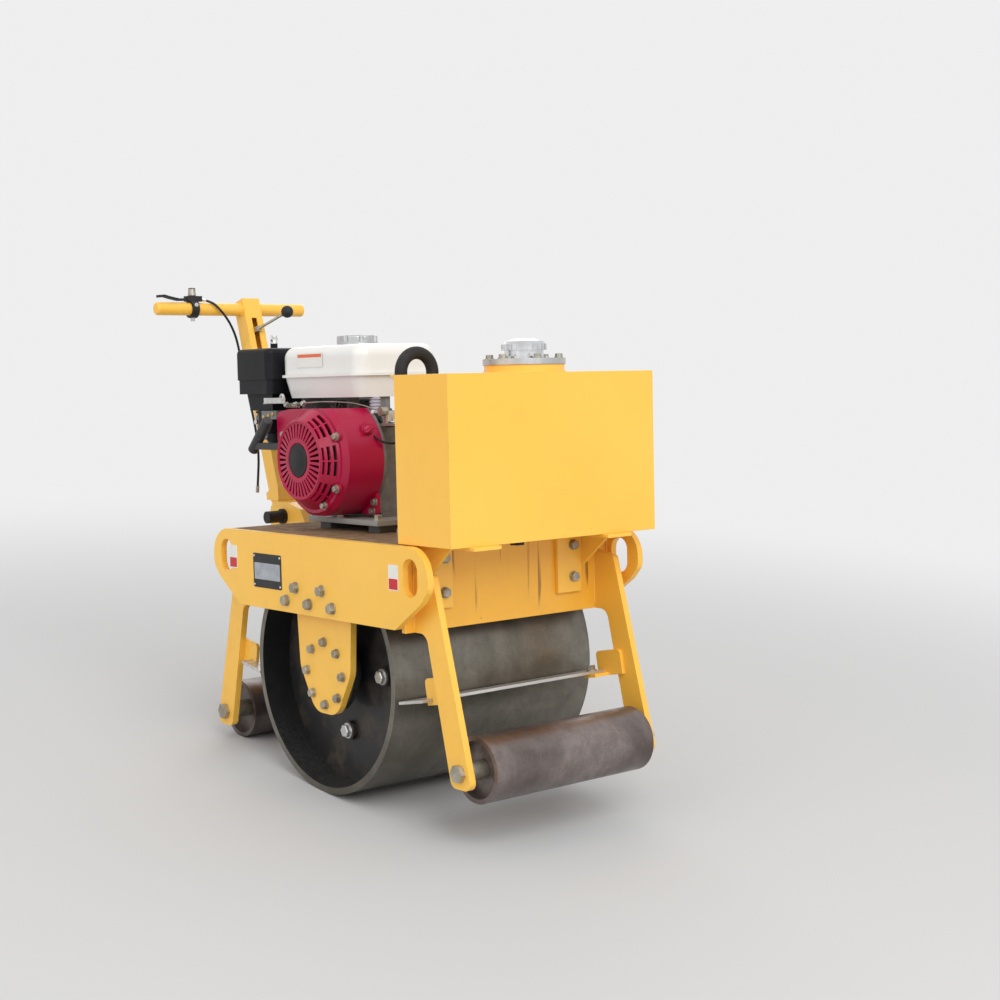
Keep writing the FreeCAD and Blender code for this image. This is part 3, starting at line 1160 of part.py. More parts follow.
def route_wire(points):
    """Return straight runs joined by tangent arcs, each as large as its two runs allow."""
    edges = []
    start = points[0]
    radii = []
    for index in range(1, len(points) - 1):
        before, here, after = points[index - 1:index + 2]
        share = 0.45 * min(here.distanceToPoint(before), here.distanceToPoint(after))
        turn = math.pi - (before - here).getAngle(after - here)
        radius = share / math.tan(turn / 2)
        radii.append(radius)
        arc_start, middle, arc_end = rounded(before, here, after, radius)
        edges.append(Part.makeLine(start, arc_start))
        edges.append(Part.Arc(arc_start, middle, arc_end).toShape())
        start = arc_end
    edges.append(Part.makeLine(start, points[-1]))
    return Part.Wire(edges), radii


def cable_points():
    """Return the control cable's route as points."""
    return [V(x, HINGE_Y + back, HINGE_Z + up) for x, back, up in CABLE_ROUTE]


def throttle_cable():
    """Return the control cable as a plain tube along its route."""
    points = cable_points()
    path, radii = route_wire(points)
    ring = Part.Wire([Part.makeCircle(CABLE_RADIUS, points[0], points[1] - points[0])])
    tube = path.makePipeShell([ring], True, False)
    section = math.pi * CABLE_RADIUS ** 2
    print("cable length %.1f, volume over section times length %.4f" % (path.Length, tube.Volume / section / path.Length))
    print("cable radii " + ", ".join("%.0f" % radius for radius in radii))
    return tube


def cable_end():
    """Return the metal end fitting of the control cable."""
    before, end = cable_points()[-2:]
    return Part.makeCylinder(CABLE_END_RADIUS, CABLE_END_LENGTH, end, end - before)


def build():
    """Return every node of the machine, drawn level."""
    nodes = {}
    pairs = (("side_plate", side_plate()), ("tongue", tongue()), ("tongue_spacer", tongue_spacer()),
             ("bearing_housing", bearing()), ("drum_disc", drum_disc()), ("leg_front", leg(-1)),
             ("leg_rear", leg(1)))
    for name, shape in pairs:
        nodes[name + "_left"] = shape
        nodes[name + "_right"] = mirror_x(shape)
    for word, sign in (("front", -1), ("rear", 1)):
        nodes["cross_plate_" + word] = cross_plate(sign)
        nodes["axle_" + word] = axle(sign)
        nodes["roller_" + word] = guide_roller(sign)
        nodes["scraper_" + word] = scraper(sign)
        nodes["scraper_brackets_" + word] = scraper_brackets(sign)
    nodes["deck_plate"] = deck()
    singles = (drum_shell, drum_shaft, front_tank, tank_flange, breather_cap, drain_plug, tank_straps, tank_hose,
               hose_fittings, engine_rails, engine_plate, engine_block, fan_cover, recoil_starter, starter_grip,
               fuel_tank, fuel_cap, fuel_outlet, air_cleaner, carburettor, throttle_control, muffler, pump,
               hinge_bracket, hinge_pin, handle_column, handlebar, travel_lever, lever_knob, grip_lever,
               throttle_cable, cable_end)
    for piece in singles:
        nodes[piece.__name__] = piece()
    return nodes


def parked(nodes):
    """Tip the machine back about its drum until the rear guide roller stands on the ground."""
    across, up = GUIDE_Y, GUIDE_Z - DRUM_RADIUS
    reach = math.hypot(across, up)
    lean = math.asin((GUIDE_RADIUS - DRUM_RADIUS) / reach) - math.atan2(up, across)
    for shape in nodes.values():
        shape.rotate(V(0, 0, DRUM_RADIUS), V(1, 0, 0), math.degrees(lean))
    bounds = Part.makeCompound(list(nodes.values())).optimalBoundingBox(False)
    shift = V(-(bounds.XMin + bounds.XMax) / 2, -(bounds.YMin + bounds.YMax) / 2, 0)
    for shape in nodes.values():
        shape.translate(shift)
    print("lean %.4f degrees, shift %.3f %.3f" % (math.degrees(lean), shift.x, shift.y))
    print("length %.1f width %.1f height %.1f" % (bounds.YLength, bounds.XLength, bounds.ZLength))
    return nodes


os.makedirs("parts", exist_ok=True)
for node_name, node_shape in parked(build()).items():
    node_shape.exportStep("parts/" + node_name + ".step")
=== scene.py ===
import json
import logging
import math
from dataclasses import dataclass
from enum import Enum
from typing import Callable, Dict, Iterable, List, Optional, Sequence, Tuple, Union

import bmesh
import bpy
from mathutils import Matrix, Vector


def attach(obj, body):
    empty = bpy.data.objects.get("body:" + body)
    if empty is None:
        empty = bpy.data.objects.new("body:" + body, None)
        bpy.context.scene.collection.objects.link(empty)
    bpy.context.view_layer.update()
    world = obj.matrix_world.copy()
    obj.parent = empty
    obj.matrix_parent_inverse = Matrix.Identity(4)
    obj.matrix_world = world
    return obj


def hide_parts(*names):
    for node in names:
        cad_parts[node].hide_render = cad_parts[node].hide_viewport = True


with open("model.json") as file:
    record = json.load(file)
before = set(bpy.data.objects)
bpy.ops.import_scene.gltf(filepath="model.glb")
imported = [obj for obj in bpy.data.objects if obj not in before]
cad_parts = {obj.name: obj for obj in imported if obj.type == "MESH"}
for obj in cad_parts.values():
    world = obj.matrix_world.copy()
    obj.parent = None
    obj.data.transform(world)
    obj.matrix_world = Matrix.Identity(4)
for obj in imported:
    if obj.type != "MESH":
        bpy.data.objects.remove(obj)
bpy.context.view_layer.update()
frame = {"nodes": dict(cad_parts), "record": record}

# The machine is described level, in millimetres, as its drawing is. It stands tipped back about its drum.
LEAN = math.radians(-6.2050)
DRUM_AXLE = Vector((0.0, 0.0, 0.2125))
SHIFT = Vector((0.0, -0.119553, 0.0))
MM = 0.001
LEVEL_TO_PARKED = (
    Matrix.Translation(SHIFT + DRUM_AXLE) @ Matrix.Rotation(LEAN, 4, "X") @ Matrix.Translation(-DRUM_AXLE)
    @ Matrix.Scale(MM, 4)
)
# The camera in the level machine's frame: place in millimetres, then its right, up and backward directions
CAMERA_PLACE = (-1790.0, -2406.8, 705.1)
CAMERA_RIGHT = (0.771135, -0.636281, -0.022294)
CAMERA_UP = (0.060932, 0.038899, 0.997384)
CAMERA_BACK = (-0.633749, -0.770476, 0.068766)
FOCAL_LENGTH_MM = 59.5
SENSOR_WIDTH_MM = 36.0
# Directions on the level machine
UP = (0.0, 0.0, 1.0)
DOWN = (0.0, 0.0, -1.0)
LEFT = (-1.0, 0.0, 0.0)
RIGHT = (1.0, 0.0, 0.0)
FRONT = (0.0, -1.0, 0.0)
BACK = (0.0, 1.0, 0.0)
SIDES = (("left", -1.0), ("right", 1.0))
ORIGIN = Matrix.Identity(4)
# Weld beads: radius and length of a ripple in millimetres
BEAD_RADIUS = 2.2
BEAD_PITCH = 3.2

Number3 = Tuple[float, float, float]
Colour = Tuple[float, float, float]

log = logging.getLogger("roller")


def srgb(red: int, green: int, blue: int) -> Colour:
    """Return a display colour as linear light.

    Args:
        red: Red from 0 to 255.
        green: Green from 0 to 255.
        blue: Blue from 0 to 255.

    Returns:
        The colour as three linear values.
    """
    def linear(value: int) -> float:
        """Return one channel as linear light."""
        share = value / 255.0
        return share / 12.92 if share <= 0.04045 else ((share + 0.055) / 1.055) ** 2.4

    return linear(red), linear(green), linear(blue)


class Body(Enum):
    """The moving bodies of the machine."""

    FRAME = "frame"
    DRUM = "drum"
    FRONT_ROLLER = "front_roller"
    REAR_ROLLER = "rear_roller"
    HANDLE = "handle"


# Shader expressions


class Signal:
    """One output of a shader node that can stand in a Python expression."""

    def __init__(self, shader: "NodeGraph", socket: bpy.types.NodeSocket) -> None:
        """Wrap a socket of a shader."""
        self.shader = shader
        self.socket = socket

    def _math(self, operation: str, first: "Input", second: "Input") -> "Signal":
        """Return a Math node's result."""
        return self.shader.node("ShaderNodeMath", {"operation": operation}, {0: first, 1: second})

    def __add__(self, other: "Input") -> "Signal":
        """Return the sum."""
        return self._math("ADD", self, other)

    __radd__ = __add__

    def __sub__(self, other: "Input") -> "Signal":
        """Return the difference."""
        return self._math("SUBTRACT", self, other)

    def __rsub__(self, other: "Input") -> "Signal":
        """Return the difference with the value on the right."""
        return self._math("SUBTRACT", other, self)

    def __mul__(self, other: "Input") -> "Signal":
        """Return the product."""
        return self._math("MULTIPLY", self, other)

    __rmul__ = __mul__

    def at_least(self, other: "Input") -> "Signal":
        """Return the larger of two values."""
        return self._math("MAXIMUM", self, other)

    def ramp(self, start: float, end: float) -> "Signal":
        """Return a smooth step from 0 at one value to 1 at another.

        Args:
            start: The value that gives 0.
            end: The value that gives 1, which may be the smaller one.

        Returns:
            The step.
        """
        flip = start > end
        low, high = (end, start) if flip else (start, end)
        step = self.shader.node(
            "ShaderNodeMapRange", {"interpolation_type": "SMOOTHSTEP"},
            {"Value": self, "From Min": low, "From Max": high})
        return 1.0 - step if flip else step


Input = Union[Signal, float, Sequence[float]]


class NodeGraph:
    """A node tree whose nodes are made and linked in one way."""

    def __init__(self, tree: bpy.types.NodeTree) -> None:
        """Hold the tree's nodes and links."""
        self.nodes = tree.nodes
        self.links = tree.links

    def node(self, kind: str, settings: Optional[Dict] = None, inputs: Optional[Dict] = None,
             output: Union[int, str] = 0) -> Signal:
        """Add one node.

        Args:
            kind: The node's type.
            settings: Its settings by name.
            inputs: Values or signals by socket name or number.
            output: The output to return.

        Returns:
            The chosen output.
        """
        made = self.nodes.new(kind)
        for key, value in (settings or {}).items():
            setattr(made, key, value)
        for key, value in (inputs or {}).items():
            self.feed(made.inputs[key], value)
        return Signal(self, made.outputs[output])

    def feed(self, socket: bpy.types.NodeSocket, value: Input) -> None:
        """Link a signal to a socket, or set its value."""
        if isinstance(value, Signal):
            self.links.new(value.socket, socket)
        elif isinstance(value, (int, float)):
            socket.default_value = value
        elif len(value) == 3 and len(socket.default_value) == 4:
            socket.default_value = (*value, 1.0)
        else:
            socket.default_value = value

    def seen(self) -> Signal:
        """Return 1 for what the camera, a reflection or glass sees, and 0 for what only lights."""
        straight = self.node("ShaderNodeLightPath", {}, {}, "Is Camera Ray")
        glossy = self.node("ShaderNodeLightPath", {}, {}, "Is Glossy Ray")
        through = self.node("ShaderNodeLightPath", {}, {}, "Is Transmission Ray")
        return straight.at_least(glossy).at_least(through)


class Shader(NodeGraph):
    """The node tree of one finish, whose patterns sit on Object coordinates."""

    def __init__(self, name: str) -> None:
        """Start a material with a Principled surface."""
        self.material = bpy.data.materials.new(name)
        self.material.use_nodes = True
        super().__init__(self.material.node_tree)
        self.surface = self.nodes["Principled BSDF"]
        self.coordinates = self.nodes.new("ShaderNodeTexCoord")

    def place(self, stretch: Number3 = (1.0, 1.0, 1.0), shift: Number3 = (0.0, 0.0, 0.0)) -> Signal:
        """Return the Object coordinates, scaled and moved."""
        return self.node("ShaderNodeMapping", {"vector_type": "POINT"}, {
            "Vector": Signal(self, self.coordinates.outputs["Object"]), "Scale": stretch, "Location": shift})

    def axis(self, name: str) -> Signal:
        """Return one Object coordinate in metres."""
        return self.node("ShaderNodeSeparateXYZ", {}, {0: Signal(self, self.coordinates.outputs["Object"])},
                         name)

    def facing(self, name: str) -> Signal:
        """Return one component of the surface's own direction."""
        return self.node("ShaderNodeSeparateXYZ", {}, {0: Signal(self, self.coordinates.outputs["Normal"])},
                         name)

    def noise(self, scale: float, detail: float = 4.0, rough: float = 0.5, stretch: Number3 = (1.0, 1.0, 1.0),
              shift: Number3 = (0.0, 0.0, 0.0), twist: float = 0.0) -> Signal:
        """Return a noise pattern.

        Args:
            scale: Features to a metre.
            detail: Octaves.
            rough: How strong the finer octaves are.
            stretch: Scale by axis.
            shift: Offset, so that two patterns differ.
            twist: Distortion.

        Returns:
            The pattern, around 0.5.
        """
        return self.node("ShaderNodeTexNoise", {}, {
            "Vector": self.place(stretch, shift), "Scale": scale, "Detail": detail, "Roughness": rough,
            "Distortion": twist})

    def edges(self, radius: float) -> Signal:
        """Return a mask of sharp edges within a radius in metres."""
        rounded = self.node("ShaderNodeBevel", {"samples": 4}, {"Radius": radius})
        plain = self.node("ShaderNodeNewGeometry", {}, {}, "Normal")
        match = self.node("ShaderNodeVectorMath", {"operation": "DOT_PRODUCT"}, {0: rounded, 1: plain},
                          "Value")
        return match.ramp(0.985, 0.8)

    def mix(self, share: Input, first: Input, second: Input) -> Signal:
        """Return a colour between two colours.

        Args:
            share: How much of the second colour shows.
            first: The first colour.
            second: The second colour.

        Returns:
            The mixed colour.
        """
        return self.node("ShaderNodeMix", {"data_type": "RGBA"}, {
            "Factor": share, 6: first, 7: second}, 2)

    def bump(self, height: Signal, depth: float, strength: float = 1.0,
             under: Optional[Signal] = None) -> Signal:
        """Return a normal raised by a height pattern.

        Args:
            height: The pattern from 0 to 1.
            depth: The depth in metres.
            strength: How much of it shows.
            under: A normal to build on.

        Returns:
            The new normal.
        """
        inputs: Dict = {"Height": height, "Distance": depth, "Strength": strength}
        if under is not None:
            inputs["Normal"] = under
        return self.node("ShaderNodeBump", {}, inputs)

    def done(self, **sockets: Input) -> bpy.types.Material:
        """Set the surface's sockets and return the material.

        Args:
            **sockets: Values or signals by socket name, with underscores for spaces.

        Returns:
            The finished material.
        """
        for name, value in sockets.items():
            self.feed(self.surface.inputs[name.replace("_", " ").title().replace("Ior", "IOR")], value)
        return self.material


# Finishes

DUST = srgb(150, 128, 100)
MUD = srgb(98, 76, 58)
RUST = srgb(118, 62, 34)
DARK_RUST = srgb(70, 40, 28)


@dataclass(frozen=True)
class Paint:
    """Sprayed paint with dust, small chips and worn edges."""

    name: str
    colour: Colour
    deep: Colour
    roughness: float = 0.34
    dust: float = 0.35
    chips: float = 0.5
    edge: float = 0.4
    cloud: float = 0.6
    streaks_from: float = 0.0
    peel: float = 0.35
    coat: float = 0.25
    shine: float = 0.5

    def material(self) -> bpy.types.Material:
        """Return the paint as a material."""
        s = Shader(self.name)
        cloud = s.noise(2.6, 2.0, 0.4)
        tone = s.mix(cloud.ramp(0.3, 0.7) * self.cloud, self.colour, self.deep)
        speckle = s.noise(900.0, 2.0, 0.6)
        tone = s.mix(speckle.ramp(0.55, 0.8) * 0.10, tone, self.deep)
        grime = s.noise(26.0, 6.0, 0.62, shift=(3.1, 0.4, 1.7))
        up = s.facing("Z").ramp(0.45, 0.95)
        low = s.axis("Z").ramp(0.5, 0.0)
        dirt = (grime.ramp(0.42, 0.75) * (up * 0.75 + low * 0.5 + 0.12)) * self.dust
        tone = s.mix(dirt, tone, DUST)
        chip_noise = s.noise(140.0, 5.0, 0.7, shift=(0.7, 5.2, 0.1))
        field = s.noise(11.0, 3.0, 0.5, shift=(8.0, 1.0, 2.0)).ramp(0.5, 0.72)
        edge = s.edges(0.0022)
        chips = (chip_noise + edge * 0.16 + field * 0.05).ramp(0.70, 0.735) * self.chips
        worn = (edge * s.noise(60.0, 4.0, 0.6, shift=(1.0, 9.0, 4.0)).ramp(0.44, 0.62)) * self.edge
        tone = s.mix(worn, tone, s.mix(0.5, self.deep, DUST))
        if self.streaks_from:
            runs = s.noise(62.0, 2.0, 0.5, stretch=(1.0, 0.0, 0.03), shift=(6.0, 0.0, 0.0)).ramp(0.53, 0.62)
            reach = s.noise(14.0, 3.0, 0.6, stretch=(1.0, 0.0, 0.0), shift=(0.9, 0.0, 0.0))
            left = reach.ramp(0.36, 0.6) * 0.13 + s.axis("Z") - self.streaks_from
            tone = s.mix(runs * left.ramp(0.0, 0.03) * 0.7, tone, s.mix(0.45, RUST, DARK_RUST))
        tone = s.mix(chips, tone, s.mix(s.noise(300.0).ramp(0.4, 0.6), RUST, DARK_RUST))
        peel = s.noise(420.0, 2.0, 0.5)
        skin = s.bump(peel, 0.00012, self.peel)
        normal = s.bump(1.0 - chips, 0.00025, 0.5, skin)
        rough = self.roughness + grime * 0.14 + dirt * 0.55 + chips * 0.35
        return s.done(base_color=tone, roughness=rough, normal=normal, coat_weight=(1.0 - dirt) * self.coat,
                      coat_roughness=0.12, specular_ior_level=self.shine)


@dataclass(frozen=True)
class Steel:
    """Bare or plated metal with rust, dust and directional wear."""

    name: str
    colour: Colour
    light: Colour
    roughness: float = 0.42
    metal: float = 0.85
    rust: float = 0.0
    dust: float = 0.2
    grain: Number3 = (1.0, 1.0, 1.0)
    grain_scale: float = 60.0
    depth: float = 0.0002

    def material(self) -> bpy.types.Material:
        """Return the metal as a material."""
        s = Shader(self.name)
        streak = s.noise(self.grain_scale, 6.0, 0.65, stretch=self.grain)
        patch = s.noise(9.0, 5.0, 0.6, shift=(2.0, 1.0, 0.3), twist=0.4)
        tone = s.mix((streak * 0.6 + patch * 0.4).ramp(0.38, 0.66), self.colour, self.light)
        spots = s.noise(30.0, 7.0, 0.68, shift=(4.0, 2.0, 7.0))
        rust_field = (spots + patch * 0.25).ramp(0.62, 0.80) * self.rust
        tone = s.mix(rust_field, tone, s.mix(s.noise(160.0, 4.0).ramp(0.35, 0.65), RUST, DARK_RUST))
        grime = s.noise(18.0, 5.0, 0.6, shift=(9.0, 3.0, 1.0)).ramp(0.40, 0.72) * self.dust
        tone = s.mix(grime, tone, DUST)
        pits = s.noise(350.0, 4.0, 0.6)
        normal = s.bump(pits * 0.5 + streak * 0.5, self.depth, 0.6)
        rough = self.roughness + streak * 0.16 + rust_field * 0.4 + grime * 0.35
        metal = self.metal * (1.0 - (rust_field + grime).ramp(0.0, 1.1))
        return s.done(base_color=tone, roughness=rough, metallic=metal, normal=normal)


@dataclass(frozen=True)
class RolledSteel:
    """Thick rolled plate, polished by the ground into faint bands round its axle."""

    name: str
    colour: Colour
    light: Colour
    earth: Colour
    dirt: float = 0.5
    roughness: float = 0.4
    pits: float = 0.0003
    bore: float = 0.0
    bands: float = 0.22
    metal: float = 0.75

    def inside(self, s: Shader) -> Signal:
        """Return a mask of the painted bore, inside a radius about the drum's axle."""
        middle = (0.0, -SHIFT.y, -DRUM_AXLE.z)
        across = s.node("ShaderNodeVectorMath", {"operation": "MULTIPLY"},
                        {0: s.place(shift=middle), 1: (0.0, 1.0, 1.0)})
        radius = s.node("ShaderNodeVectorMath", {"operation": "LENGTH"}, {0: across}, "Value")
        return radius.ramp(self.bore + 0.0008, self.bore + 0.0002)

    def material(self) -> bpy.types.Material:
        """Return the rolled plate as a material."""
        s = Shader(self.name)
        bands = s.noise(9.0, 4.0, 0.55, stretch=(2.6, 0.6, 0.6))
        patch = s.noise(6.0, 4.0, 0.55, shift=(2.0, 1.0, 0.3), twist=0.3)
        share = bands * self.bands + patch * (1.0 - self.bands)
        tone = s.mix(share.ramp(0.34, 0.66), self.colour, self.light)
        scratch = s.noise(260.0, 3.0, 0.6, stretch=(1.0, 0.06, 0.06))
        tone = s.mix(scratch.ramp(0.55, 0.75) * 0.22, tone, self.light)
        mottle = s.noise(34.0, 6.0, 0.65, shift=(5.0, 2.0, 7.0))
        soil = (mottle * 0.6 + patch * 0.4).ramp(0.46, 0.66) * self.dirt
        tone = s.mix(soil, tone, self.earth)
        fleck = s.noise(420.0, 3.0, 0.6)
        tone = s.mix(fleck.ramp(0.60, 0.74) * 0.3, tone, DUST)
        tone = s.mix(fleck.ramp(0.42, 0.30) * 0.5, tone, self.earth)
        normal = s.bump(fleck * 0.6 + mottle * 0.4, self.pits, 0.5)
        rough = self.roughness + soil * 0.3 + mottle * 0.12
        metal = self.metal * (1.0 - soil)
        if self.bore:
            inside = self.inside(s)
            dusty = fleck.ramp(0.40, 0.75) * s.axis("Z").ramp(0.14, 0.01) * 0.45
            tone = s.mix(inside, tone, s.mix(dusty, srgb(23, 23, 25), srgb(112, 110, 106)))
            metal = metal * (1.0 - inside)
        return s.done(base_color=tone, roughness=rough, metallic=metal, normal=normal)


@dataclass(frozen=True)
class Moulded:
    """Moulded plastic, rubber or printed film with a fine grain and settled dust."""

    name: str
    colour: Colour
    roughness: float = 0.5
    dust: float = 0.25
    grain: float = 0.0001
    lift: float = 1.8
    shine: float = 0.35

    def material(self) -> bpy.types.Material:
        """Return the plastic as a material."""
        s = Shader(self.name)
        cloud = s.noise(14.0, 4.0, 0.6)
        lighter = tuple(min(1.0, channel * self.lift + 0.01) for channel in self.colour)
        tone = s.mix(cloud.ramp(0.4, 0.7) * 0.35, self.colour, lighter)
        up = s.facing("Z").ramp(0.3, 0.95)
        grime = s.noise(45.0, 6.0, 0.65, shift=(2.0, 2.0, 6.0)).ramp(0.42, 0.75)
        grime = grime * (up * 0.8 + 0.2) * self.dust
        tone = s.mix(grime, tone, DUST)
        skin = s.noise(1300.0, 2.0, 0.5)
        return s.done(base_color=tone, roughness=self.roughness + cloud * 0.1 + grime * 0.4,
                      normal=s.bump(skin, self.grain, 0.5), specular_ior_level=self.shine)


@dataclass(frozen=True)
class DustyDeck:
    """Deck paint under a layer of dried mud and dust."""

    name: str
    colour: Colour

    def material(self) -> bpy.types.Material:
        """Return the dusty deck as a material."""
        s = Shader(self.name)
        grime = s.noise(12.0, 7.0, 0.65, twist=0.5)
        up = s.facing("Z").ramp(0.5, 0.9)
        cover = (grime + 0.18).ramp(0.42, 0.62) * up
        clods = s.noise(28.0, 8.0, 0.7, shift=(1.0, 1.0, 1.0), twist=0.6)
        earth = s.mix(clods.ramp(0.36, 0.72), MUD, DUST)
        tone = s.mix(cover * 0.9, self.colour, earth)
        grit = s.noise(500.0, 4.0, 0.7)
        return s.done(base_color=tone, roughness=0.42 + cover * 0.45,
                      normal=s.bump(grit * cover, 0.0006, 0.6))


YELLOW_PAINT = Paint("yellow_paint", srgb(255, 199, 78), srgb(251, 188, 62), dust=0.25, chips=0.4, edge=0.35)
FRONT_YELLOW = Paint("front_streaked_yellow", srgb(250, 188, 62), srgb(240, 174, 50), dust=0.4,
                     streaks_from=0.466)
REAR_YELLOW = Paint("rear_streaked_yellow", srgb(250, 188, 62), srgb(240, 174, 50), dust=0.4,
                    streaks_from=0.411)
RED_PAINT = Paint("crimson_paint", srgb(176, 2, 62), srgb(150, 0, 50), roughness=0.26, dust=0.05, chips=0.0,
                  edge=0.1,
                  peel=0.1, coat=0.08, shine=0.4)
WHITE_PAINT = Paint("white_paint", srgb(236, 235, 231), srgb(224, 222, 216), roughness=0.24, dust=0.2,
                    chips=0.0,
                    edge=0.2, peel=0.1)
BLACK_PAINT = Paint("black_paint", srgb(26, 26, 28), srgb(20, 20, 21), roughness=0.5, dust=0.3, chips=0.2)
GREY_PAINT = Paint("grey_paint", srgb(84, 84, 86), srgb(64, 64, 66), roughness=0.45, dust=0.6, chips=0.2)
PALE_GREY = Paint("pale_grey_paint", srgb(158, 157, 152), srgb(136, 135, 130), roughness=0.42, dust=0.6,
                  chips=0.3)
DRUM_STEEL = RolledSteel("drum_steel", srgb(98, 94, 85), srgb(136, 132, 122), srgb(68, 62, 52), dirt=0.4,
                         roughness=0.30, bore=0.2005)
ROLLER_STEEL = RolledSteel("roller_steel", srgb(98, 88, 85), srgb(146, 135, 132), srgb(68, 53, 47), dirt=0.5,
                           roughness=0.24, pits=0.0012, bands=0.1)
WORN_STEEL = Steel("worn_steel", srgb(196, 194, 190), srgb(228, 227, 224), roughness=0.28, metal=0.7,
                   rust=0.12,
                   dust=0.1, grain=(0.2, 3.0, 3.0))
ZINC = Steel("zinc_plate", srgb(150, 146, 134), srgb(190, 186, 172), roughness=0.34, metal=0.8, rust=0.18)
SATIN = Steel("satin_metal", srgb(184, 185, 186), srgb(204, 205, 206), roughness=0.3, metal=0.85, dust=0.08)
SILVER = Steel("bare_silver", srgb(196, 196, 194), srgb(226, 226, 224), roughness=0.26, metal=0.85, dust=0.12)
BRASS = Steel("brass", srgb(190, 160, 92), srgb(214, 188, 120), roughness=0.3, metal=0.85, dust=0.1)
CHROME = Steel("bright_metal", srgb(206, 208, 210), srgb(232, 234, 236), roughness=0.14, metal=0.95,
               dust=0.12)
CAST = Steel("cast_aluminium", srgb(118, 119, 121), srgb(146, 147, 149), roughness=0.5, metal=0.6, dust=0.28,
             depth=0.0005)
PLATE_METAL = Steel("nameplate_metal", srgb(168, 172, 178), srgb(196, 200, 206), roughness=0.28, metal=0.8,
                    dust=0.15)
BLACK_PLASTIC = Moulded("black_plastic", srgb(30, 31, 34))
CLEANER_PLASTIC = Moulded("cleaner_plastic", srgb(17, 18, 22), roughness=0.34, dust=0.06, grain=0.00005,
                          shine=0.18)
GRIP_PLASTIC = Moulded("grip_plastic", srgb(52, 52, 55), roughness=0.42, dust=0.3)
BLACK_RUBBER = Moulded("black_rubber", srgb(26, 26, 28), roughness=0.6, dust=0.2)
PALE_RUBBER = Moulded("pale_rubber", srgb(176, 172, 184), roughness=0.5, dust=0.3, lift=0.8)
CABLE_SHEATH = Moulded("cable_sheath", srgb(28, 28, 30), roughness=0.42, dust=0.12)
# Black print on the nameplate; the same dark also lies as painted shade in the muffler guard's slots
BLACK_PRINT_AND_SHADE = Moulded("black_print_and_shade", srgb(28, 29, 31), roughness=0.35, dust=0.3)
BADGE_BLACK = Moulded("badge_black", srgb(16, 16, 18), roughness=0.3, dust=0.05, shine=0.25)
LABEL_WHITE = Moulded("label_white", srgb(236, 234, 228), roughness=0.3, dust=0.2, lift=0.85)
LABEL_RED = Moulded("label_red", srgb(206, 44, 48), roughness=0.3, dust=0.2, lift=0.8)
LABEL_ORANGE = Moulded("label_orange", srgb(232, 110, 62), roughness=0.3, dust=0.2, lift=0.85)
DECK = DustyDeck("dusty_deck", srgb(196, 140, 60))

Finish = Union[Paint, Steel, RolledSteel, Moulded, DustyDeck]

SLOT_FINISHES = {
    "yellow_paint": YELLOW_PAINT,
    "black_paint": BLACK_PAINT,
    "drum_steel": DRUM_STEEL,
    "roller_steel": ROLLER_STEEL,
    "worn_steel": WORN_STEEL,
    "zinc_steel": ZINC,
    "dusty_deck": DECK,
    "silver_plate": SATIN,
    "chrome_cap": CHROME,
    "dark_steel": GREY_PAINT,
    "engine_aluminium": CAST,
    "red_paint": RED_PAINT,
    "white_paint": WHITE_PAINT,
    "black_plastic": BLACK_PLASTIC,
    "black_rubber": BLACK_RUBBER,
}

# Pieces of the drawing whose finish differs from their slot's
NODE_FINISHES = {
    "fuel_outlet": PALE_RUBBER,
    "starter_grip": GRIP_PLASTIC,
    "air_cleaner": CLEANER_PLASTIC,
    "cross_plate_front": FRONT_YELLOW,
    "cross_plate_rear": REAR_YELLOW,
    "engine_plate": PALE_GREY,
}

_made: Dict[str, bpy.types.Material] = {}


def material_of(finish: Finish) -> bpy.types.Material:
    """Return a finish's material, built once."""
    if finish.name not in _made:
        _made[finish.name] = finish.material()
    return _made[finish.name]


def wear(thing: bpy.types.Object, finish: Finish) -> None:
    """Give an object one finish."""
    thing.data.materials.clear()
    thing.data.materials.append(material_of(finish))


# Making pieces


def leave_all() -> None:
    """Leave edit mode and deselect everything."""
    if bpy.context.object is not None and bpy.context.object.mode != "OBJECT":
        bpy.ops.object.mode_set(mode="OBJECT")
    bpy.ops.object.select_all(action="DESELECT")


def focus(thing: bpy.types.Object) -> None:
    """Select one object alone and make it active."""
    leave_all()
    thing.select_set(True)
    bpy.context.view_layer.objects.active = thing


def pick(thing: bpy.types.Object, kind: str, test: Callable[[Vector, Vector], bool]) -> None:
    """Select, in edit mode, the faces or edges that pass a test.

    Args:
        thing: The object being edited.
        kind: "FACE" or "EDGE".
        test: Called with a face's middle and normal, or with the places of an edge's ends.
    """
    bpy.ops.mesh.select_mode(type=kind)
    bpy.ops.mesh.select_all(action="DESELECT")
    mesh = bmesh.from_edit_mesh(thing.data)
    if kind == "FACE":
        for face in mesh.faces:
            face.select_set(test(face.calc_center_median(), face.normal))
    else:
        for edge in mesh.edges:
            edge.select_set(test(edge.verts[0].co, edge.verts[1].co))
    bmesh.update_edit_mesh(thing.data)


def at(x: float, y: float, z: float) -> Matrix:
    """Return the move to a place on the level machine, in millimetres."""
    return Matrix.Translation((x, y, z))


def turned(degrees: float, axis: str) -> Matrix:
    """Return a turn about the X, Y or Z axis."""
    return Matrix.Rotation(math.radians(degrees), 4, axis)


def aim(direction: Number3, place: Number3, spin: float = 0.0) -> Matrix:
    """Return the matrix that stands a piece made along +Z on a place.

    Args:
        direction: Where its Z axis points, in the level machine.
        place: Its foot in millimetres.
        spin: A turn about its own axis in degrees.

    Returns:
        The matrix in the level machine's millimetres.
    """
    turn = Vector(UP).rotation_difference(Vector(direction)).to_matrix().to_4x4()
    return at(*place) @ turn @ turned(spin, "Z")


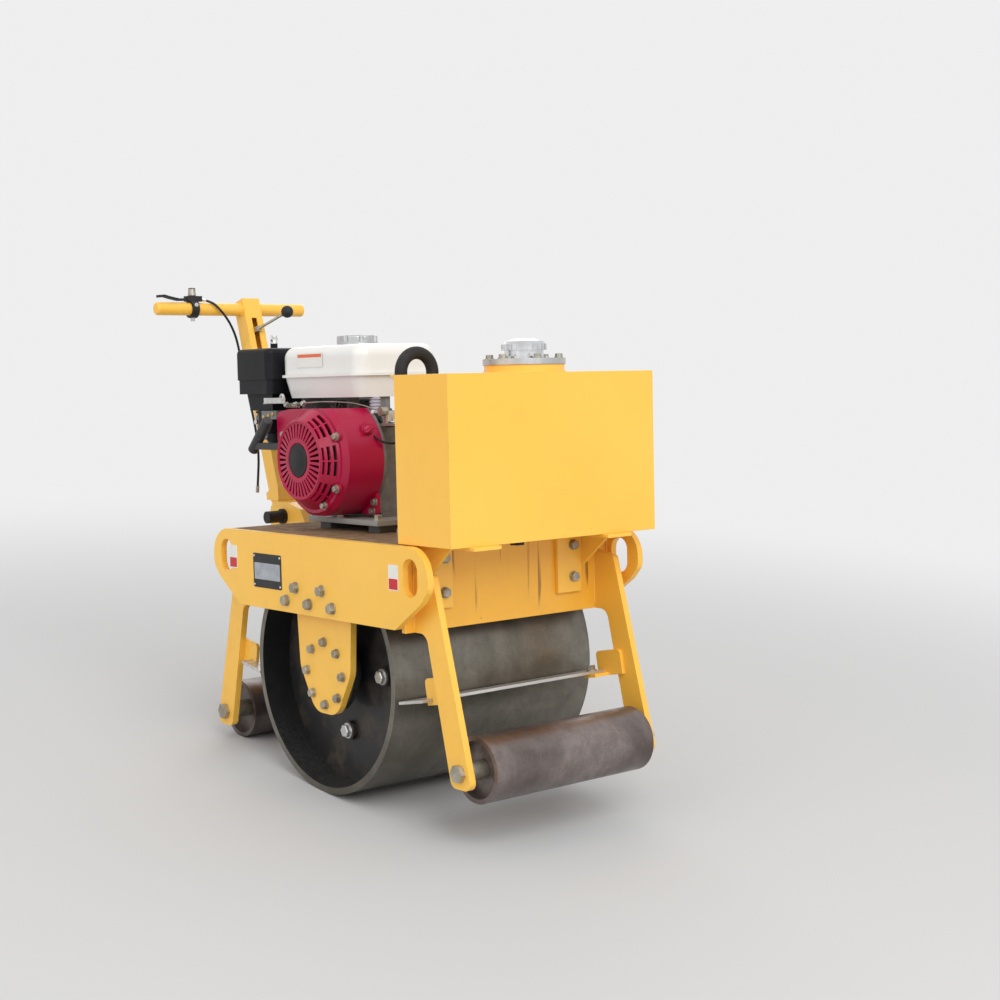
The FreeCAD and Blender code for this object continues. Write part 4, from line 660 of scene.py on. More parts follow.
def circle(radius: float, count: int, start: float = 0.0, closed: bool = False) -> List[Tuple[float, float]]:
    """Return evenly spaced places on a circle.

    Args:
        radius: The circle's radius.
        count: Places round it.
        start: The first place's angle in degrees.
        closed: Whether the first place comes again at the end.

    Returns:
        Each place's two offsets from the middle.
    """
    turns = [math.radians(start + 360.0 / count * index) for index in range(count + int(closed))]
    return [(radius * math.cos(turn), radius * math.sin(turn)) for turn in turns]


def join(parts: Sequence[bpy.types.Object]) -> bpy.types.Object:
    """Return several meshes as one object."""
    leave_all()
    for part in parts:
        part.select_set(True)
    bpy.context.view_layer.objects.active = parts[0]
    if len(parts) > 1:
        bpy.ops.object.join()
    return parts[0]


def copies(pattern: bpy.types.Object, places: Iterable[Matrix]) -> bpy.types.Object:
    """Return one object made of copies of a pattern, and remove the pattern.

    Args:
        pattern: The object to copy, made in millimetres at the origin.
        places: A matrix for each copy.

    Returns:
        The joined object, in the level machine's millimetres.
    """
    made: List[bpy.types.Object] = []
    for place in places:
        copy = pattern.copy()
        copy.data = pattern.data.copy()
        copy.data.transform(place)
        bpy.context.scene.collection.objects.link(copy)
        made.append(copy)
    result = join(made)
    bpy.data.objects.remove(pattern)
    return result


def fit(name: str, parts: Sequence[bpy.types.Object], slot: str, finish: Optional[Finish] = None,
        body: Body = Body.FRAME) -> bpy.types.Object:
    """Join parts into one piece, stand it on the parked machine and dress it.

    Args:
        name: The piece's name.
        parts: Its parts, in the level machine's millimetres.
        slot: The record's material slot that it takes after.
        finish: Its finish, or the slot's own.
        body: The body it moves with.

    Returns:
        The finished piece.
    """
    piece = join(parts)
    piece.name = name
    piece.data.name = name
    piece.data.transform(LEVEL_TO_PARKED)
    wear(piece, finish or SLOT_FINISHES[slot])
    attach(piece, body.value)
    log.info("%s: %d faces on %s", name, len(piece.data.polygons), body.value)
    return piece


def smooth(thing: bpy.types.Object, degrees: float = 35.0) -> bpy.types.Object:
    """Shade a piece smooth where its faces meet at a small angle."""
    focus(thing)
    bpy.ops.object.shade_smooth_by_angle(angle=math.radians(degrees))
    return thing


def lathe(section: Sequence[Tuple[float, float]], vertices: int = 32,
          place: Matrix = ORIGIN) -> bpy.types.Object:
    """Return a round part along +Z, drawn out ring by ring.

    Args:
        section: Height and radius of each ring, from the foot to the tip.
        vertices: Points round each ring.
        place: Where it stands.

    Returns:
        The part, in millimetres.
    """
    leave_all()
    height, radius = section[0]
    bpy.ops.mesh.primitive_circle_add(vertices=vertices, radius=radius, fill_type="NGON",
                                      location=(0.0, 0.0, 0.0))
    part = bpy.context.object
    bpy.ops.object.mode_set(mode="EDIT")
    bpy.ops.mesh.select_all(action="SELECT")
    bpy.ops.transform.translate(value=(0.0, 0.0, height))
    for next_height, next_radius in section[1:]:
        bpy.ops.mesh.extrude_region_move(TRANSFORM_OT_translate={"value": (0.0, 0.0, next_height - height)})
        share = next_radius / radius
        bpy.ops.transform.resize(value=(share, share, 1.0), center_override=(0.0, 0.0, next_height))
        height, radius = next_height, next_radius
    bpy.ops.mesh.select_all(action="SELECT")
    bpy.ops.mesh.remove_doubles(threshold=0.001)
    bpy.ops.mesh.normals_make_consistent(inside=False)
    bpy.ops.object.mode_set(mode="OBJECT")
    smooth(part).data.transform(place)
    return part


def block(size: Number3, edge: float, segments: int = 2, upright: float = 0.0,
          place: Matrix = ORIGIN) -> bpy.types.Object:
    """Return a block with bevelled edges.

    Args:
        size: Its lengths along X, Y and Z.
        edge: Width of the bevel on the edges of its top and bottom.
        segments: Steps in that bevel.
        upright: Width of the bevel on the edges along Z, taken first.
        place: Where its middle is.

    Returns:
        The part, in millimetres.
    """
    leave_all()
    bpy.ops.mesh.primitive_cube_add(size=1.0, location=(0.0, 0.0, 0.0), scale=size)
    part = bpy.context.object
    bpy.ops.object.transform_apply(location=True, rotation=True, scale=True)
    bpy.ops.object.mode_set(mode="EDIT")
    if upright > 0.0:
        pick(part, "EDGE", lambda a, b: abs(a.z - b.z) > size[2] * 0.9)
        bpy.ops.mesh.bevel(offset=upright, segments=6)
    pick(part, "EDGE", lambda a, b: abs(a.z - b.z) < size[2] * 0.1)
    bpy.ops.mesh.bevel(offset=edge, segments=segments)
    bpy.ops.object.mode_set(mode="OBJECT")
    smooth(part).data.transform(place)
    return part


def round_line(points: Sequence[Number3], radius: float, quarter: int, steps: int, rounded: bool = True,
               ripple: float = 0.0) -> bpy.types.Object:
    """Return a curve with a round section along a line of points.

    Args:
        points: The line.
        radius: The section's radius.
        quarter: Steps in each quarter of the section, less one.
        steps: Steps between two points.
        rounded: Whether the line is rounded or runs straight from point to point.
        ripple: How much thinner every second point is, as a share of the radius.

    Returns:
        The curve, in the unit of its points.
    """
    line = bpy.data.curves.new("line", "CURVE")
    line.dimensions = "3D"
    line.bevel_depth = radius
    line.bevel_resolution = quarter
    line.use_fill_caps = True
    line.resolution_u = steps
    spline = line.splines.new("NURBS" if rounded else "POLY")
    spline.points.add(len(points) - 1)
    for index, place in enumerate(points):
        spline.points[index].co = (*place, 1.0)
        spline.points[index].radius = 1.0 - ripple * (index % 2)
    if rounded:
        spline.order_u = 3
        spline.use_endpoint_u = True
    thing = bpy.data.objects.new("line", line)
    bpy.context.scene.collection.objects.link(thing)
    return thing


def tube(points: Sequence[Number3], radius: float, rounded: bool = True, ripple: float = 0.0,
         quarter: int = 2) -> bpy.types.Object:
    """Return a rod, pipe or weld bead along a line of points, as a mesh in millimetres."""
    focus(round_line(points, radius, quarter, 6, rounded, ripple))
    bpy.ops.object.convert(target="MESH")
    return smooth(bpy.context.object, 60.0)


def bead(start: Number3, end: Number3) -> bpy.types.Object:
    """Return a straight rippled weld bead between two points."""
    first, last = Vector(start), Vector(end)
    steps = max(4, int((last - first).length / BEAD_PITCH))
    line = [tuple(first.lerp(last, index / steps)) for index in range(steps + 1)]
    return tube(line, BEAD_RADIUS, False, 0.22, 1)


def hex_bolt(across: float, head: float, washer: float, washer_thick: float = 2.0,
             place: Matrix = ORIGIN) -> bpy.types.Object:
    """Return a hexagon bolt head on its washer, standing along +Z.

    Args:
        across: Width across flats.
        head: Height of the head.
        washer: Radius of the washer.
        washer_thick: Thickness of the washer.
        place: Where it stands.

    Returns:
        The part, in millimetres.
    """
    leave_all()
    bpy.ops.mesh.primitive_cylinder_add(vertices=6, radius=across / math.sqrt(3.0), depth=head,
                                        location=(0.0, 0.0, washer_thick + head / 2))
    bolt = bpy.context.object
    bpy.ops.object.transform_apply(location=True, rotation=True, scale=True)
    bpy.ops.object.mode_set(mode="EDIT")
    pick(bolt, "FACE", lambda middle, normal: normal.z > 0.9)
    bpy.ops.mesh.inset(thickness=across * 0.07, depth=across * 0.05)
    pick(bolt, "EDGE", lambda a, b: abs(a.z - b.z) > head * 0.5)
    bpy.ops.mesh.bevel(offset=across * 0.02, segments=1)
    bpy.ops.object.mode_set(mode="OBJECT")
    bpy.ops.mesh.primitive_cylinder_add(vertices=24, radius=washer, depth=washer_thick,
                                        location=(0.0, 0.0, washer_thick / 2))
    ring = bpy.context.object
    bpy.ops.object.transform_apply(location=True, rotation=True, scale=True)
    bpy.ops.object.mode_set(mode="EDIT")
    pick(ring, "EDGE", lambda a, b: abs(a.z - washer_thick) + abs(b.z - washer_thick) < 1e-4)
    bpy.ops.mesh.bevel(offset=washer_thick * 0.25, segments=2)
    bpy.ops.object.mode_set(mode="OBJECT")
    join([bolt, ring]).data.transform(place)
    return bolt


@dataclass
class BoltGroup:
    """Bolts of one size on one face."""

    name: str
    # Width across flats, height of the head and radius of the washer
    size: Number3
    direction: Number3
    # X, Y, Z and the head's turn in degrees
    places: Sequence[Tuple[float, float, float, float]]
    body: Body = Body.FRAME
    finish: Optional[Finish] = None

    def build(self) -> None:
        """Make the group and stand it on the machine."""
        places = [aim(self.direction, (x, y, z), spin) for x, y, z, spin in self.places]
        fit(self.name, [copies(hex_bolt(*self.size), places)], "zinc_steel", self.finish, self.body)


@dataclass
class FrameFasteners:
    """The bolts of the side plates, the hanging brackets, the drum's mounts and the straps."""

    side_x: float = 236.5
    side_places: Sequence[Tuple[float, float]] = (
        (51.8, 360.0), (-30.3, 360.6), (83.2, 335.0), (10.3, 334.0), (-61.8, 333.0))
    bracket_x: float = 214.5
    bracket_z: float = 211.5
    bracket_circle: float = 55.0
    bracket_count: int = 8
    mount_x: float = 169.5
    mount_z: float = 212.5
    mount_circle: float = 109.0
    mount_count: int = 4
    strap_places: Sequence[Tuple[float, float, float, float]] = (
        (136.0, -263.0, 426.0, 5.0), (136.0, -263.0, 370.0, 20.0), (-149.0, -263.0, 426.0, 12.0),
        (-149.0, -263.0, 369.0, 0.0))

    def build(self) -> None:
        """Make the bolts of both sides."""
        for word, sign in SIDES:
            outward = (sign, 0.0, 0.0)
            side = [(sign * self.side_x, y, z, 11.0 * index) for index, (y, z) in enumerate(self.side_places)]
            BoltGroup("side_plate_bolts_" + word, (16.0, 7.0, 10.5), outward, side).build()
            ring = [(sign * self.bracket_x, y, self.bracket_z + z, 17.0 * index)
                    for index, (y, z) in enumerate(circle(self.bracket_circle, self.bracket_count))]
            BoltGroup("tongue_bolts_" + word, (13.0, 6.0, 8.5), outward, ring).build()
            mounts = [(sign * self.mount_x, y, self.mount_z + z, 0.0)
                      for y, z in circle(self.mount_circle, self.mount_count)]
            BoltGroup("drum_mount_bolts_" + word, (20.4, 6.6, 14.0), outward, mounts, Body.DRUM,
                      SILVER).build()
        BoltGroup("strap_bolts", (15.0, 6.5, 9.4), FRONT, self.strap_places).build()


@dataclass
class SidePlateTrim:
    """The blank nameplate and the blank labels beside the tie-down slots."""

    face_x: float = 236.5
    plate_middle: Tuple[float, float] = (144.3, 382.3)
    plate_size: Tuple[float, float] = (94.0, 62.0)
    field_size: Tuple[float, float] = (86.0, 30.0)
    # The rivets' places as shares of the plate's length and height from its middle
    rivet_share: Tuple[float, float] = (0.46, 0.42)
    # The front and rear labels' places along the machine and their heights
    labels: Sequence[Tuple[float, float]] = ((-241.8, 399.5), (262.4, 401.5))
    label_size: Tuple[float, float] = (27.0, 42.0)

    def panel(self, sign: float, middle: Tuple[float, float], size: Tuple[float, float], lift: float,
              thick: float,
              corner: float) -> bpy.types.Object:
        """Return a thin panel on a side plate.

        Args:
            sign: -1 for the left side plate, 1 for the right one.
            middle: Its place along the machine and its height.
            size: Its length and height.
            lift: How far its back stands off the side plate.
            thick: Its thickness.
            corner: The radius of its corners.

        Returns:
            The panel, in the level machine's millimetres.
        """
        turn = Matrix(((0, 0, sign, 0), (1, 0, 0, 0), (0, 1, 0, 0), (0, 0, 0, 1)))
        return block((*size, thick), thick * 0.2, 1, corner,
                     at(sign * (self.face_x + lift + thick / 2), *middle) @ turn)

    def build(self) -> None:
        """Make the nameplate and the labels."""
        y, z = self.plate_middle
        long, high = self.plate_size
        plate = self.panel(-1.0, self.plate_middle, self.plate_size, 0.0, 0.9, 3.0)
        fit("nameplate", [plate], "silver_plate", BLACK_PRINT_AND_SHADE)
        field = self.panel(-1.0, (y, z - 1.0), self.field_size, 0.75, 0.35, 1.5)
        fit("nameplate_field", [field], "silver_plate", PLATE_METAL)
        along, up = self.rivet_share
        rivet = lathe(((0.0, 2.4), (0.7, 2.2), (1.3, 1.2), (1.5, 0.3)), 12)
        corners = [aim(LEFT, (-self.face_x - 1.0, y + dy * long, z + dz * high))
                   for dy in (-along, along) for dz in (-up, up)]
        fit("nameplate_rivets", [copies(rivet, corners)], "silver_plate", SILVER)
        wide, tall = self.label_size
        spots = [(sign, along, up) for _, sign in SIDES for along, up in self.labels]
        sheets = [self.panel(sign, (along, up), self.label_size, 0.0, 0.35, 2.0) for sign, along, up in spots]
        fit("slot_labels", sheets, "white_paint", LABEL_WHITE)
        reds = [self.panel(sign, (along, up - tall * 0.25), (wide - 3.0, tall * 0.42), 0.25, 0.25, 1.5)
                for sign, along, up in spots]
        fit("slot_label_fields", reds, "red_paint", LABEL_RED)


@dataclass
class EngineTrim:
    """What is bolted, screwed or stuck to the engine's fan side and fuel tank."""

    axis_y: float = 92.0
    axis_z: float = 581.0
    dome_foot_x: float = -168.0
    hub_x: float = -197.0
    hub_radius: float = 29.5
    # Lugs of the starter: angle from the front toward the top in degrees, distance from the crank
    lugs: Sequence[Tuple[float, float]] = ((26.5, 95.0), (-31.5, 95.0), (-63.0, 91.0), (152.0, 95.0),
                                           (208.0, 95.0))
    lug_height: float = 3.6
    foot_z: float = 475.0
    feet: Sequence[Tuple[float, float]] = ((-119.0, 79.0), (-119.0, -38.0), (84.0, 150.0), (84.0, -38.0))
    switch_place: Number3 = (-112.0, 0.0, 633.0)
    label_place: Number3 = (-111.0, 180.0, 760.5)
    label_size: Tuple[float, float] = (87.0, 26.0)
    # The coloured band's front and rear end and its lower and upper edge
    band: Tuple[float, float, float, float] = (138.5, 221.5, 765.0, 771.5)

    def hub(self) -> None:
        """Make the blank badge in the middle of the starter."""
        rim = self.hub_radius
        section = ((0.0, rim), (1.6, rim), (2.2, rim - 1.0), (2.0, rim - 2.4), (2.9, rim - 9.0), (3.3, 2.0))
        badge = lathe(section, 64, aim(LEFT, (self.hub_x, self.axis_y, self.axis_z)))
        fit("starter_badge", [badge], "black_plastic", BADGE_BLACK)

    def lug_bolts(self) -> None:
        """Make the lugs that hold the starter, each with its bolt."""
        places = []
        for angle, reach in self.lugs:
            turn = math.radians(angle)
            foot = (self.dome_foot_x, self.axis_y - reach * math.cos(turn),
                    self.axis_z + reach * math.sin(turn))
            places.append(aim(LEFT, foot, angle))
        pad = lathe(((-1.0, 9.6), (2.6, 9.4), (3.6, 8.4), (3.8, 6.0)), 28)
        fit("starter_lugs", [copies(pad, places)], "red_paint")
        tops = [place @ at(0.0, 0.0, self.lug_height) for place in places]
        fit("starter_lug_bolts", [copies(hex_bolt(10.0, 5.5, 7.4, 1.6), tops)], "zinc_steel")

    def flange_bolts(self) -> None:
        """Make the bolts of the fan cover's corner, its rear edge and the engine's foot."""
        places = [aim(LEFT, (-92.0, 8.5, 503.5), 10.0), aim(LEFT, (-92.0, 15.5, 487.5), 25.0),
                  aim(BACK, (-120.0, 222.6, 612.0)), aim(BACK, (-120.0, 222.6, 648.0))]
        fit("fan_cover_bolts", [copies(hex_bolt(10.0, 5.0, 7.2, 1.6), places)], "zinc_steel")
        feet = [(x, y, self.foot_z, 20.0 * index) for index, (x, y) in enumerate(self.feet)]
        BoltGroup("engine_foot_bolts", (13.0, 7.0, 10.0), UP, feet).build()

    def switch(self) -> None:
        """Make the round switch on the front of the fan cover."""
        x, y, z = self.switch_place
        section = ((0.0, 12.4), (2.5, 12.4), (3.4, 11.6), (3.6, 9.6), (6.5, 8.6), (8.6, 6.0), (9.4, 2.0))
        fit("engine_switch", [lathe(section, 36, aim(FRONT, self.switch_place))], "red_paint")
        grip = block((4.2, 6.0, 21.0), 1.6, 3, 1.6, at(x, y - 9.5, z) @ turned(62.0, "Y"))
        fit("engine_switch_grip", [grip], "red_paint")

    def fuel_label(self) -> None:
        """Lay the blank label, with its coloured band, on the fuel tank's side."""
        leave_all()
        bpy.ops.mesh.primitive_grid_add(x_subdivisions=24, y_subdivisions=13, size=1.0)
        sheet = bpy.context.object
        turn = Matrix(((0, 0, -1, 0), (-1, 0, 0, 0), (0, 1, 0, 0), (0, 0, 0, 1)))
        sheet.data.transform(at(*self.label_place) @ turn @ Matrix.Diagonal((*self.label_size, 1.0, 1.0)))
        front, back, low, high = self.band
        bands = [low < face.center.z < high and front < face.center.y < back for face in sheet.data.polygons]
        fit("fuel_label", [sheet], "white_paint", LABEL_WHITE)
        sheet.data.materials.append(material_of(LABEL_ORANGE))
        for face, coloured in zip(sheet.data.polygons, bands):
            face.material_index = int(coloured)
        focus(sheet)
        wrap = sheet.modifiers.new("follow", "SHRINKWRAP")
        wrap.target = frame["nodes"]["fuel_tank"]
        wrap.wrap_method = "NEAREST_SURFACEPOINT"
        wrap.wrap_mode = "OUTSIDE"
        wrap.offset = 0.0003
        bpy.ops.object.modifier_apply(modifier=wrap.name)
        smooth(sheet, 60.0)

    def build(self) -> None:
        """Make the engine's trim."""
        self.hub()
        self.lug_bolts()
        self.flange_bolts()
        self.switch()
        self.fuel_label()


@dataclass
class Carburation:
    """The wing nut, choke lever, fuel cock and linkage between the air cleaner and the cover."""

    stud: Number3 = (-77.0, 355.5, 797.0)
    elbow: Number3 = (-91.0, 341.0, 648.0)
    drain: Number3 = (-94.0, 336.0, 606.0)
    cock: Number3 = (-96.0, 378.0, 627.0)
    outlet: Number3 = (-67.0, 34.0, 648.0)
    nuts: Sequence[Number3] = ((-114.0, 255.0, 679.0), (-112.0, 227.0, 679.0), (-110.0, 203.0, 681.0))
    screws: Sequence[Number3] = ((-134.0, 275.0, 662.0), (-134.0, 290.0, 659.0), (-134.0, 308.0, 656.5))
    rod: Sequence[Number3] = ((-116.0, 262.0, 680.0), (-115.0, 200.0, 682.0), (-108.0, 120.0, 684.0),
                              (-96.0, 40.0, 680.0), (-88.0, 6.0, 668.0))
    # The return spring's end, its radius, and its turns of twelve steps, each so far along
    spring: Number3 = (-118.0, 250.0, 677.0)
    spring_radius: float = 3.2
    spring_turns: int = 8
    spring_step: float = 0.42
    switch_wire: Sequence[Number3] = ((-99.0, -4.0, 622.0), (-95.0, -17.0, 611.0), (-74.0, -27.0, 607.0),
                                      (-52.0, -26.0, 612.0), (-38.0, -12.0, 624.0), (-38.0, 2.0, 632.0))
    outlet_wire: Sequence[Number3] = ((-67.0, 34.0, 650.0), (-60.0, 22.0, 640.0), (-44.0, 12.0, 638.0),
                                      (-30.0, 16.0, 646.0), (-28.0, 24.0, 660.0))

    def wing_nut(self) -> None:
        """Make the wing nut on the cleaner's stud."""
        hub = lathe(((0.0, 7.0), (3.0, 6.8), (8.0, 5.2), (9.5, 3.6), (9.8, 1.0)), 20, at(*self.stud))
        wings = [block((11.0, 3.0, 11.0), 1.2, 3, 0.0,
                       at(*self.stud) @ turned(35.0, "Z") @ at(9.0 * sign, 0.0, 9.5) @ turned(-28.0 * sign,
                                                                                              "Y"))
                 for sign in (-1.0, 1.0)]
        fit("wing_nut", [hub, *wings], "zinc_steel", SILVER)

    def choke(self) -> None:
        """Make the choke lever below the cleaner, with its end bent over."""
        lever = block((2.4, 72.0, 11.0), 0.8, place=at(-134.5, 267.0, 687.0))
        tip = block((9.0, 3.0, 11.0), 0.8, place=at(-130.0, 304.0, 687.0))
        arm = block((40.0, 9.0, 2.4), 0.8, place=at(-115.0, 303.0, 682.0))
        eye = lathe(((0.0, 7.2), (2.6, 7.2), (3.4, 6.2), (3.4, 3.0), (1.2, 2.6)), 24,
                    aim(LEFT, (-133.2, 240.0, 693.0)))
        fit("choke_lever", [lever, tip, arm, eye], "zinc_steel", SILVER)

    def linkage(self) -> None:
        """Make the governor rod, its return spring and the nuts above the fan cover."""
        x, y, z = self.spring
        coil = []
        for index in range(self.spring_turns * 12 + 1):
            turn = index * math.tau / 12.0
            coil.append((x + self.spring_radius * math.cos(turn), y - index * self.spring_step,
                         z + self.spring_radius * math.sin(turn)))
        fit("governor_rod", [tube(self.rod, 1.3), tube(coil, 0.7, quarter=1)], "zinc_steel")
        heads = copies(hex_bolt(8.0, 4.5, 5.6, 1.4), [aim(LEFT, place) for place in self.nuts])
        stems = [tube(((-114.0, y, z), (-90.0, y, z)), 2.4, False) for _, y, z in self.nuts]
        fit("linkage_nuts", [heads, *stems], "zinc_steel", SILVER)
        screw = lathe(((0.0, 3.6), (1.6, 3.6), (2.4, 2.8), (2.5, 0.8)), 16)
        fit("carburettor_screws", [copies(screw, [aim(LEFT, place) for place in self.screws])], "zinc_steel",
            BRASS)

    def intake(self) -> None:
        """Make the ribbed elbow that leads from the cleaner down to the carburettor."""
        x, y, z = self.elbow
        shell = block((50.0, 46.0, 42.0), 5.0, 3, 9.0, at(x, y, z))
        rim = block((58.0, 54.0, 5.0), 1.5, 2, 11.0, at(x, y, z + 17.0))
        ribs = [block((3.0, 50.0, 34.0), 1.0, place=at(x + dx, y, z)) for dx in (-14.0, 0.0, 14.0)]
        foot = lathe(((0.0, 12.0), (3.0, 15.0), (18.0, 15.0), (20.0, 13.0), (24.0, 13.0)), 28,
                     at(*self.drain))
        fit("intake_elbow", [shell, rim, foot, *ribs], "black_plastic", CLEANER_PLASTIC)
        x, y, z = self.drain
        drain = hex_bolt(10.0, 5.0, 7.0, 1.5, aim(DOWN, (x, y, z + 0.5)))
        side = lathe(((0.0, 5.0), (5.0, 5.0), (6.0, 4.0), (12.0, 3.8), (13.0, 2.0)), 16,
                     aim((-1.0, 0.3, 0.0), (-108.0, 342.0, 616.0)))
        fit("intake_screws", [drain, side], "zinc_steel", SILVER)

    def fuel_cock(self) -> None:
        """Make the fuel cock that hangs behind the carburettor, with its bowl and nut."""
        x, y, z = self.cock
        section = ((0.0, 5.0), (4.0, 9.0), (22.0, 9.0), (24.0, 11.0), (30.0, 11.0), (34.0, 8.0), (42.0, 8.0))
        fit("cock", [lathe(section, 28, at(x, y, z))], "engine_aluminium")
        nut = lathe(((0.0, 3.0), (1.0, 5.2), (6.0, 5.2), (7.5, 4.4)), 6, at(x, y, z - 6.5))
        side = hex_bolt(9.0, 5.0, 5.5, 1.4, aim(LEFT, (x - 8.5, y, z + 19.0)))
        fit("fuel_cock_nuts", [nut, side], "zinc_steel", SILVER)

    def front_controls(self) -> None:
        """Make the levers, clamp and wires at the front of the crankcase."""
        x, y, z = self.outlet
        clamp = lathe(((0.0, 9.4), (0.6, 11.4), (5.6, 11.4), (6.2, 9.4)), 32, at(x, y + 2.0, z + 13.0))
        screw = hex_bolt(7.0, 5.0, 4.0, 1.0, aim((-0.8, -0.6, 0.0), (x - 9.0, y - 5.0, z + 16.0)))
        fit("outlet_clamp", [clamp, screw], "zinc_steel", SILVER)
        nut = lathe(((0.0, 6.0), (1.5, 8.6), (12.0, 8.6), (14.0, 7.6)), 6, at(x, y, z))
        fit("outlet_nut", [nut], "black_plastic")
        levers = [
            block((11.0, 40.0, 2.4), 0.7, 2, 4.5, at(-56.0, 4.0, 646.0) @ turned(-24.0, "Z")),
            block((14.0, 34.0, 2.4), 0.7, 2, 5.0, at(-48.0, -14.0, 649.5) @ turned(40.0, "Z")),
            lathe(((0.0, 7.0), (4.0, 7.0), (5.0, 5.6), (9.0, 5.4), (9.6, 3.0)), 24, at(-56.0, -8.0, 643.0)),
            block((30.0, 3.0, 22.0), 0.8, place=at(-50.0, 17.0, 654.0))]
        fit("throttle_levers", levers, "zinc_steel", SILVER)
        fit("engine_wires", [tube(self.switch_wire, 2.0), tube(self.outlet_wire, 3.0)], "black_rubber")

    def build(self) -> None:
        """Make the parts round the carburettor and the governor."""
        self.wing_nut()
        self.choke()
        self.linkage()
        self.intake()
        self.fuel_cock()
        self.front_controls()


@dataclass
class HiddenSide:
    """What an engine of this kind has on the side away from the camera."""

    plug: Number3 = (8.0, 242.0, 651.0)
    plug_lean: Number3 = (0.0, 0.906, 0.423)
    lead: Sequence[Number3] = ((8.0, 274.0, 666.0), (12.0, 284.0, 662.0), (34.0, 278.0, 644.0),
                               (52.0, 240.0, 640.0),
                               (48.0, 190.0, 650.0), (40.0, 160.0, 646.0))
    filler: Number3 = (30.0, 20.0, 520.0)
    guard: Number3 = (48.0, 345.0, 757.0)
    # The guard's slots, drawn as dark strips of painted shade, and their pitch
    guard_slots: int = 7
    slot_pitch: float = 9.0
    pump: Number3 = (196.0, 92.0, 581.0)

    def build(self) -> None:
        """Make the spark plug's cap and lead, the oil filler, the muffler's guard and the pump's bolts."""
        cap = lathe(((0.0, 9.0), (14.0, 8.6), (16.0, 6.6), (34.0, 6.2), (36.0, 4.0)), 24,
                    aim(self.plug_lean, self.plug))
        fit("spark_plug_lead", [cap, tube(self.lead, 3.2)], "black_rubber")
        filler = lathe(((0.0, 11.0), (8.0, 11.0), (9.0, 15.0), (15.0, 15.0), (17.0, 13.0), (17.4, 4.0)), 20,
                       aim(FRONT, self.filler))
        fit("oil_filler", [filler], "black_plastic")
        x, y, z = self.guard
        fit("muffler_guard", [block((112.0, 76.0, 1.6), 0.5, 1, 8.0, at(x, y, z))], "dark_steel")
        middle = (self.guard_slots - 1) / 2
        rows = [at(x, y + (index - middle) * self.slot_pitch, z + 0.6) for index in range(self.guard_slots)]
        # The slots are dark strips laid on the guard: painted shade for the openings
        slots = copies(block((70.0, 4.0, 1.0), 0.3, 1, 1.9), rows)
        fit("muffler_guard_slot_shade", [slots], "black_paint", BLACK_PRINT_AND_SHADE)
        x, y, z = self.pump
        bolts = [(x, y + dy, z + dz, 10.0) for dy in (-30.0, 30.0) for dz in (-37.0, 37.0)]
        BoltGroup("pump_bolts", (13.0, 7.0, 9.0), RIGHT, bolts).build()


@dataclass
class HandleTrim:
    """The bright parts of the grip lever and the welds of the handle."""

    clamp_x: float = -129.0
    bar: Tuple[float, float] = (577.19, 873.99)
    weld_x: float = 20.3
    # Where the cable leaves the adjuster, and its way from there
    cable_start: Number3 = (-114.5, 581.0, 896.0)
    cable_way: Number3 = (22.4, -17.4, -6.7)

    def build(self) -> None:
        """Make the adjuster, screws, ferrule and welds."""
        x, (y, z) = self.clamp_x, self.bar
        adjuster = lathe(((0.0, 7.2), (1.0, 8.0), (6.0, 8.0), (7.0, 7.3), (14.0, 7.3), (15.6, 6.0),
                          (16.6, 3.4),
                          (16.8, 1.0)), 28, at(x, y, z + 26.3))
        fit("cable_adjuster", [adjuster], "zinc_steel", ZINC, Body.HANDLE)
        screw = lathe(((0.0, 4.4), (2.2, 4.4), (3.2, 3.4), (3.3, 1.0)), 20,
                      aim((0.0, -1.0, 0.12), (x, y - 16.0, z + 7.5)))
        low = hex_bolt(9.0, 5.0, 5.5, 1.2, aim(DOWN, (x, y, z - 17.6)))
        fit("clamp_screws", [screw, low], "zinc_steel", SILVER, Body.HANDLE)
        way = Vector(self.cable_way).normalized()
        start = Vector(self.cable_start) + way * 4.5
        ferrule = lathe(((0.0, 3.6), (2.0, 4.4), (6.0, 4.4), (8.0, 3.4), (14.0, 3.2)), 20,
                        aim(tuple(way), tuple(start)))
        fit("cable_ferrule", [ferrule], "zinc_steel", SILVER, Body.HANDLE)
        beads = [tube([(sign * self.weld_x, y + dy, z + dz) for dy, dz in circle(13.0, 28, closed=True)],
                      2.4, False,
                      0.2, 1) for _, sign in SIDES]
        fit("handlebar_welds", beads, "yellow_paint", body=Body.HANDLE)


@dataclass
class TankTrim:
    """The bolts of the tank's cover plate and the weld seam round its neck."""

    neck: Tuple[float, float] = (-6.0, -309.0)
    plate_top: float = 749.5
    bolt_circle: float = 58.0
    bolt_count: int = 6
    neck_radius: float = 67.0
    neck_foot: float = 727.0

    def build(self) -> None:
        """Make the bolts and the seam."""
        x, y = self.neck
        ring = [(x + dx, y + dy, self.plate_top, 23.0 * index)
                for index, (dx, dy) in enumerate(circle(self.bolt_circle, self.bolt_count, 12.0))]
        BoltGroup("tank_cover_bolts", (11.0, 5.0, 7.6), UP, ring).build()
        seam = [(x + dx, y + dy, self.neck_foot) for dx, dy in circle(self.neck_radius, 96, closed=True)]
        fit("tank_neck_weld", [tube(seam, BEAD_RADIUS, False, 0.2, 1)], "yellow_paint")


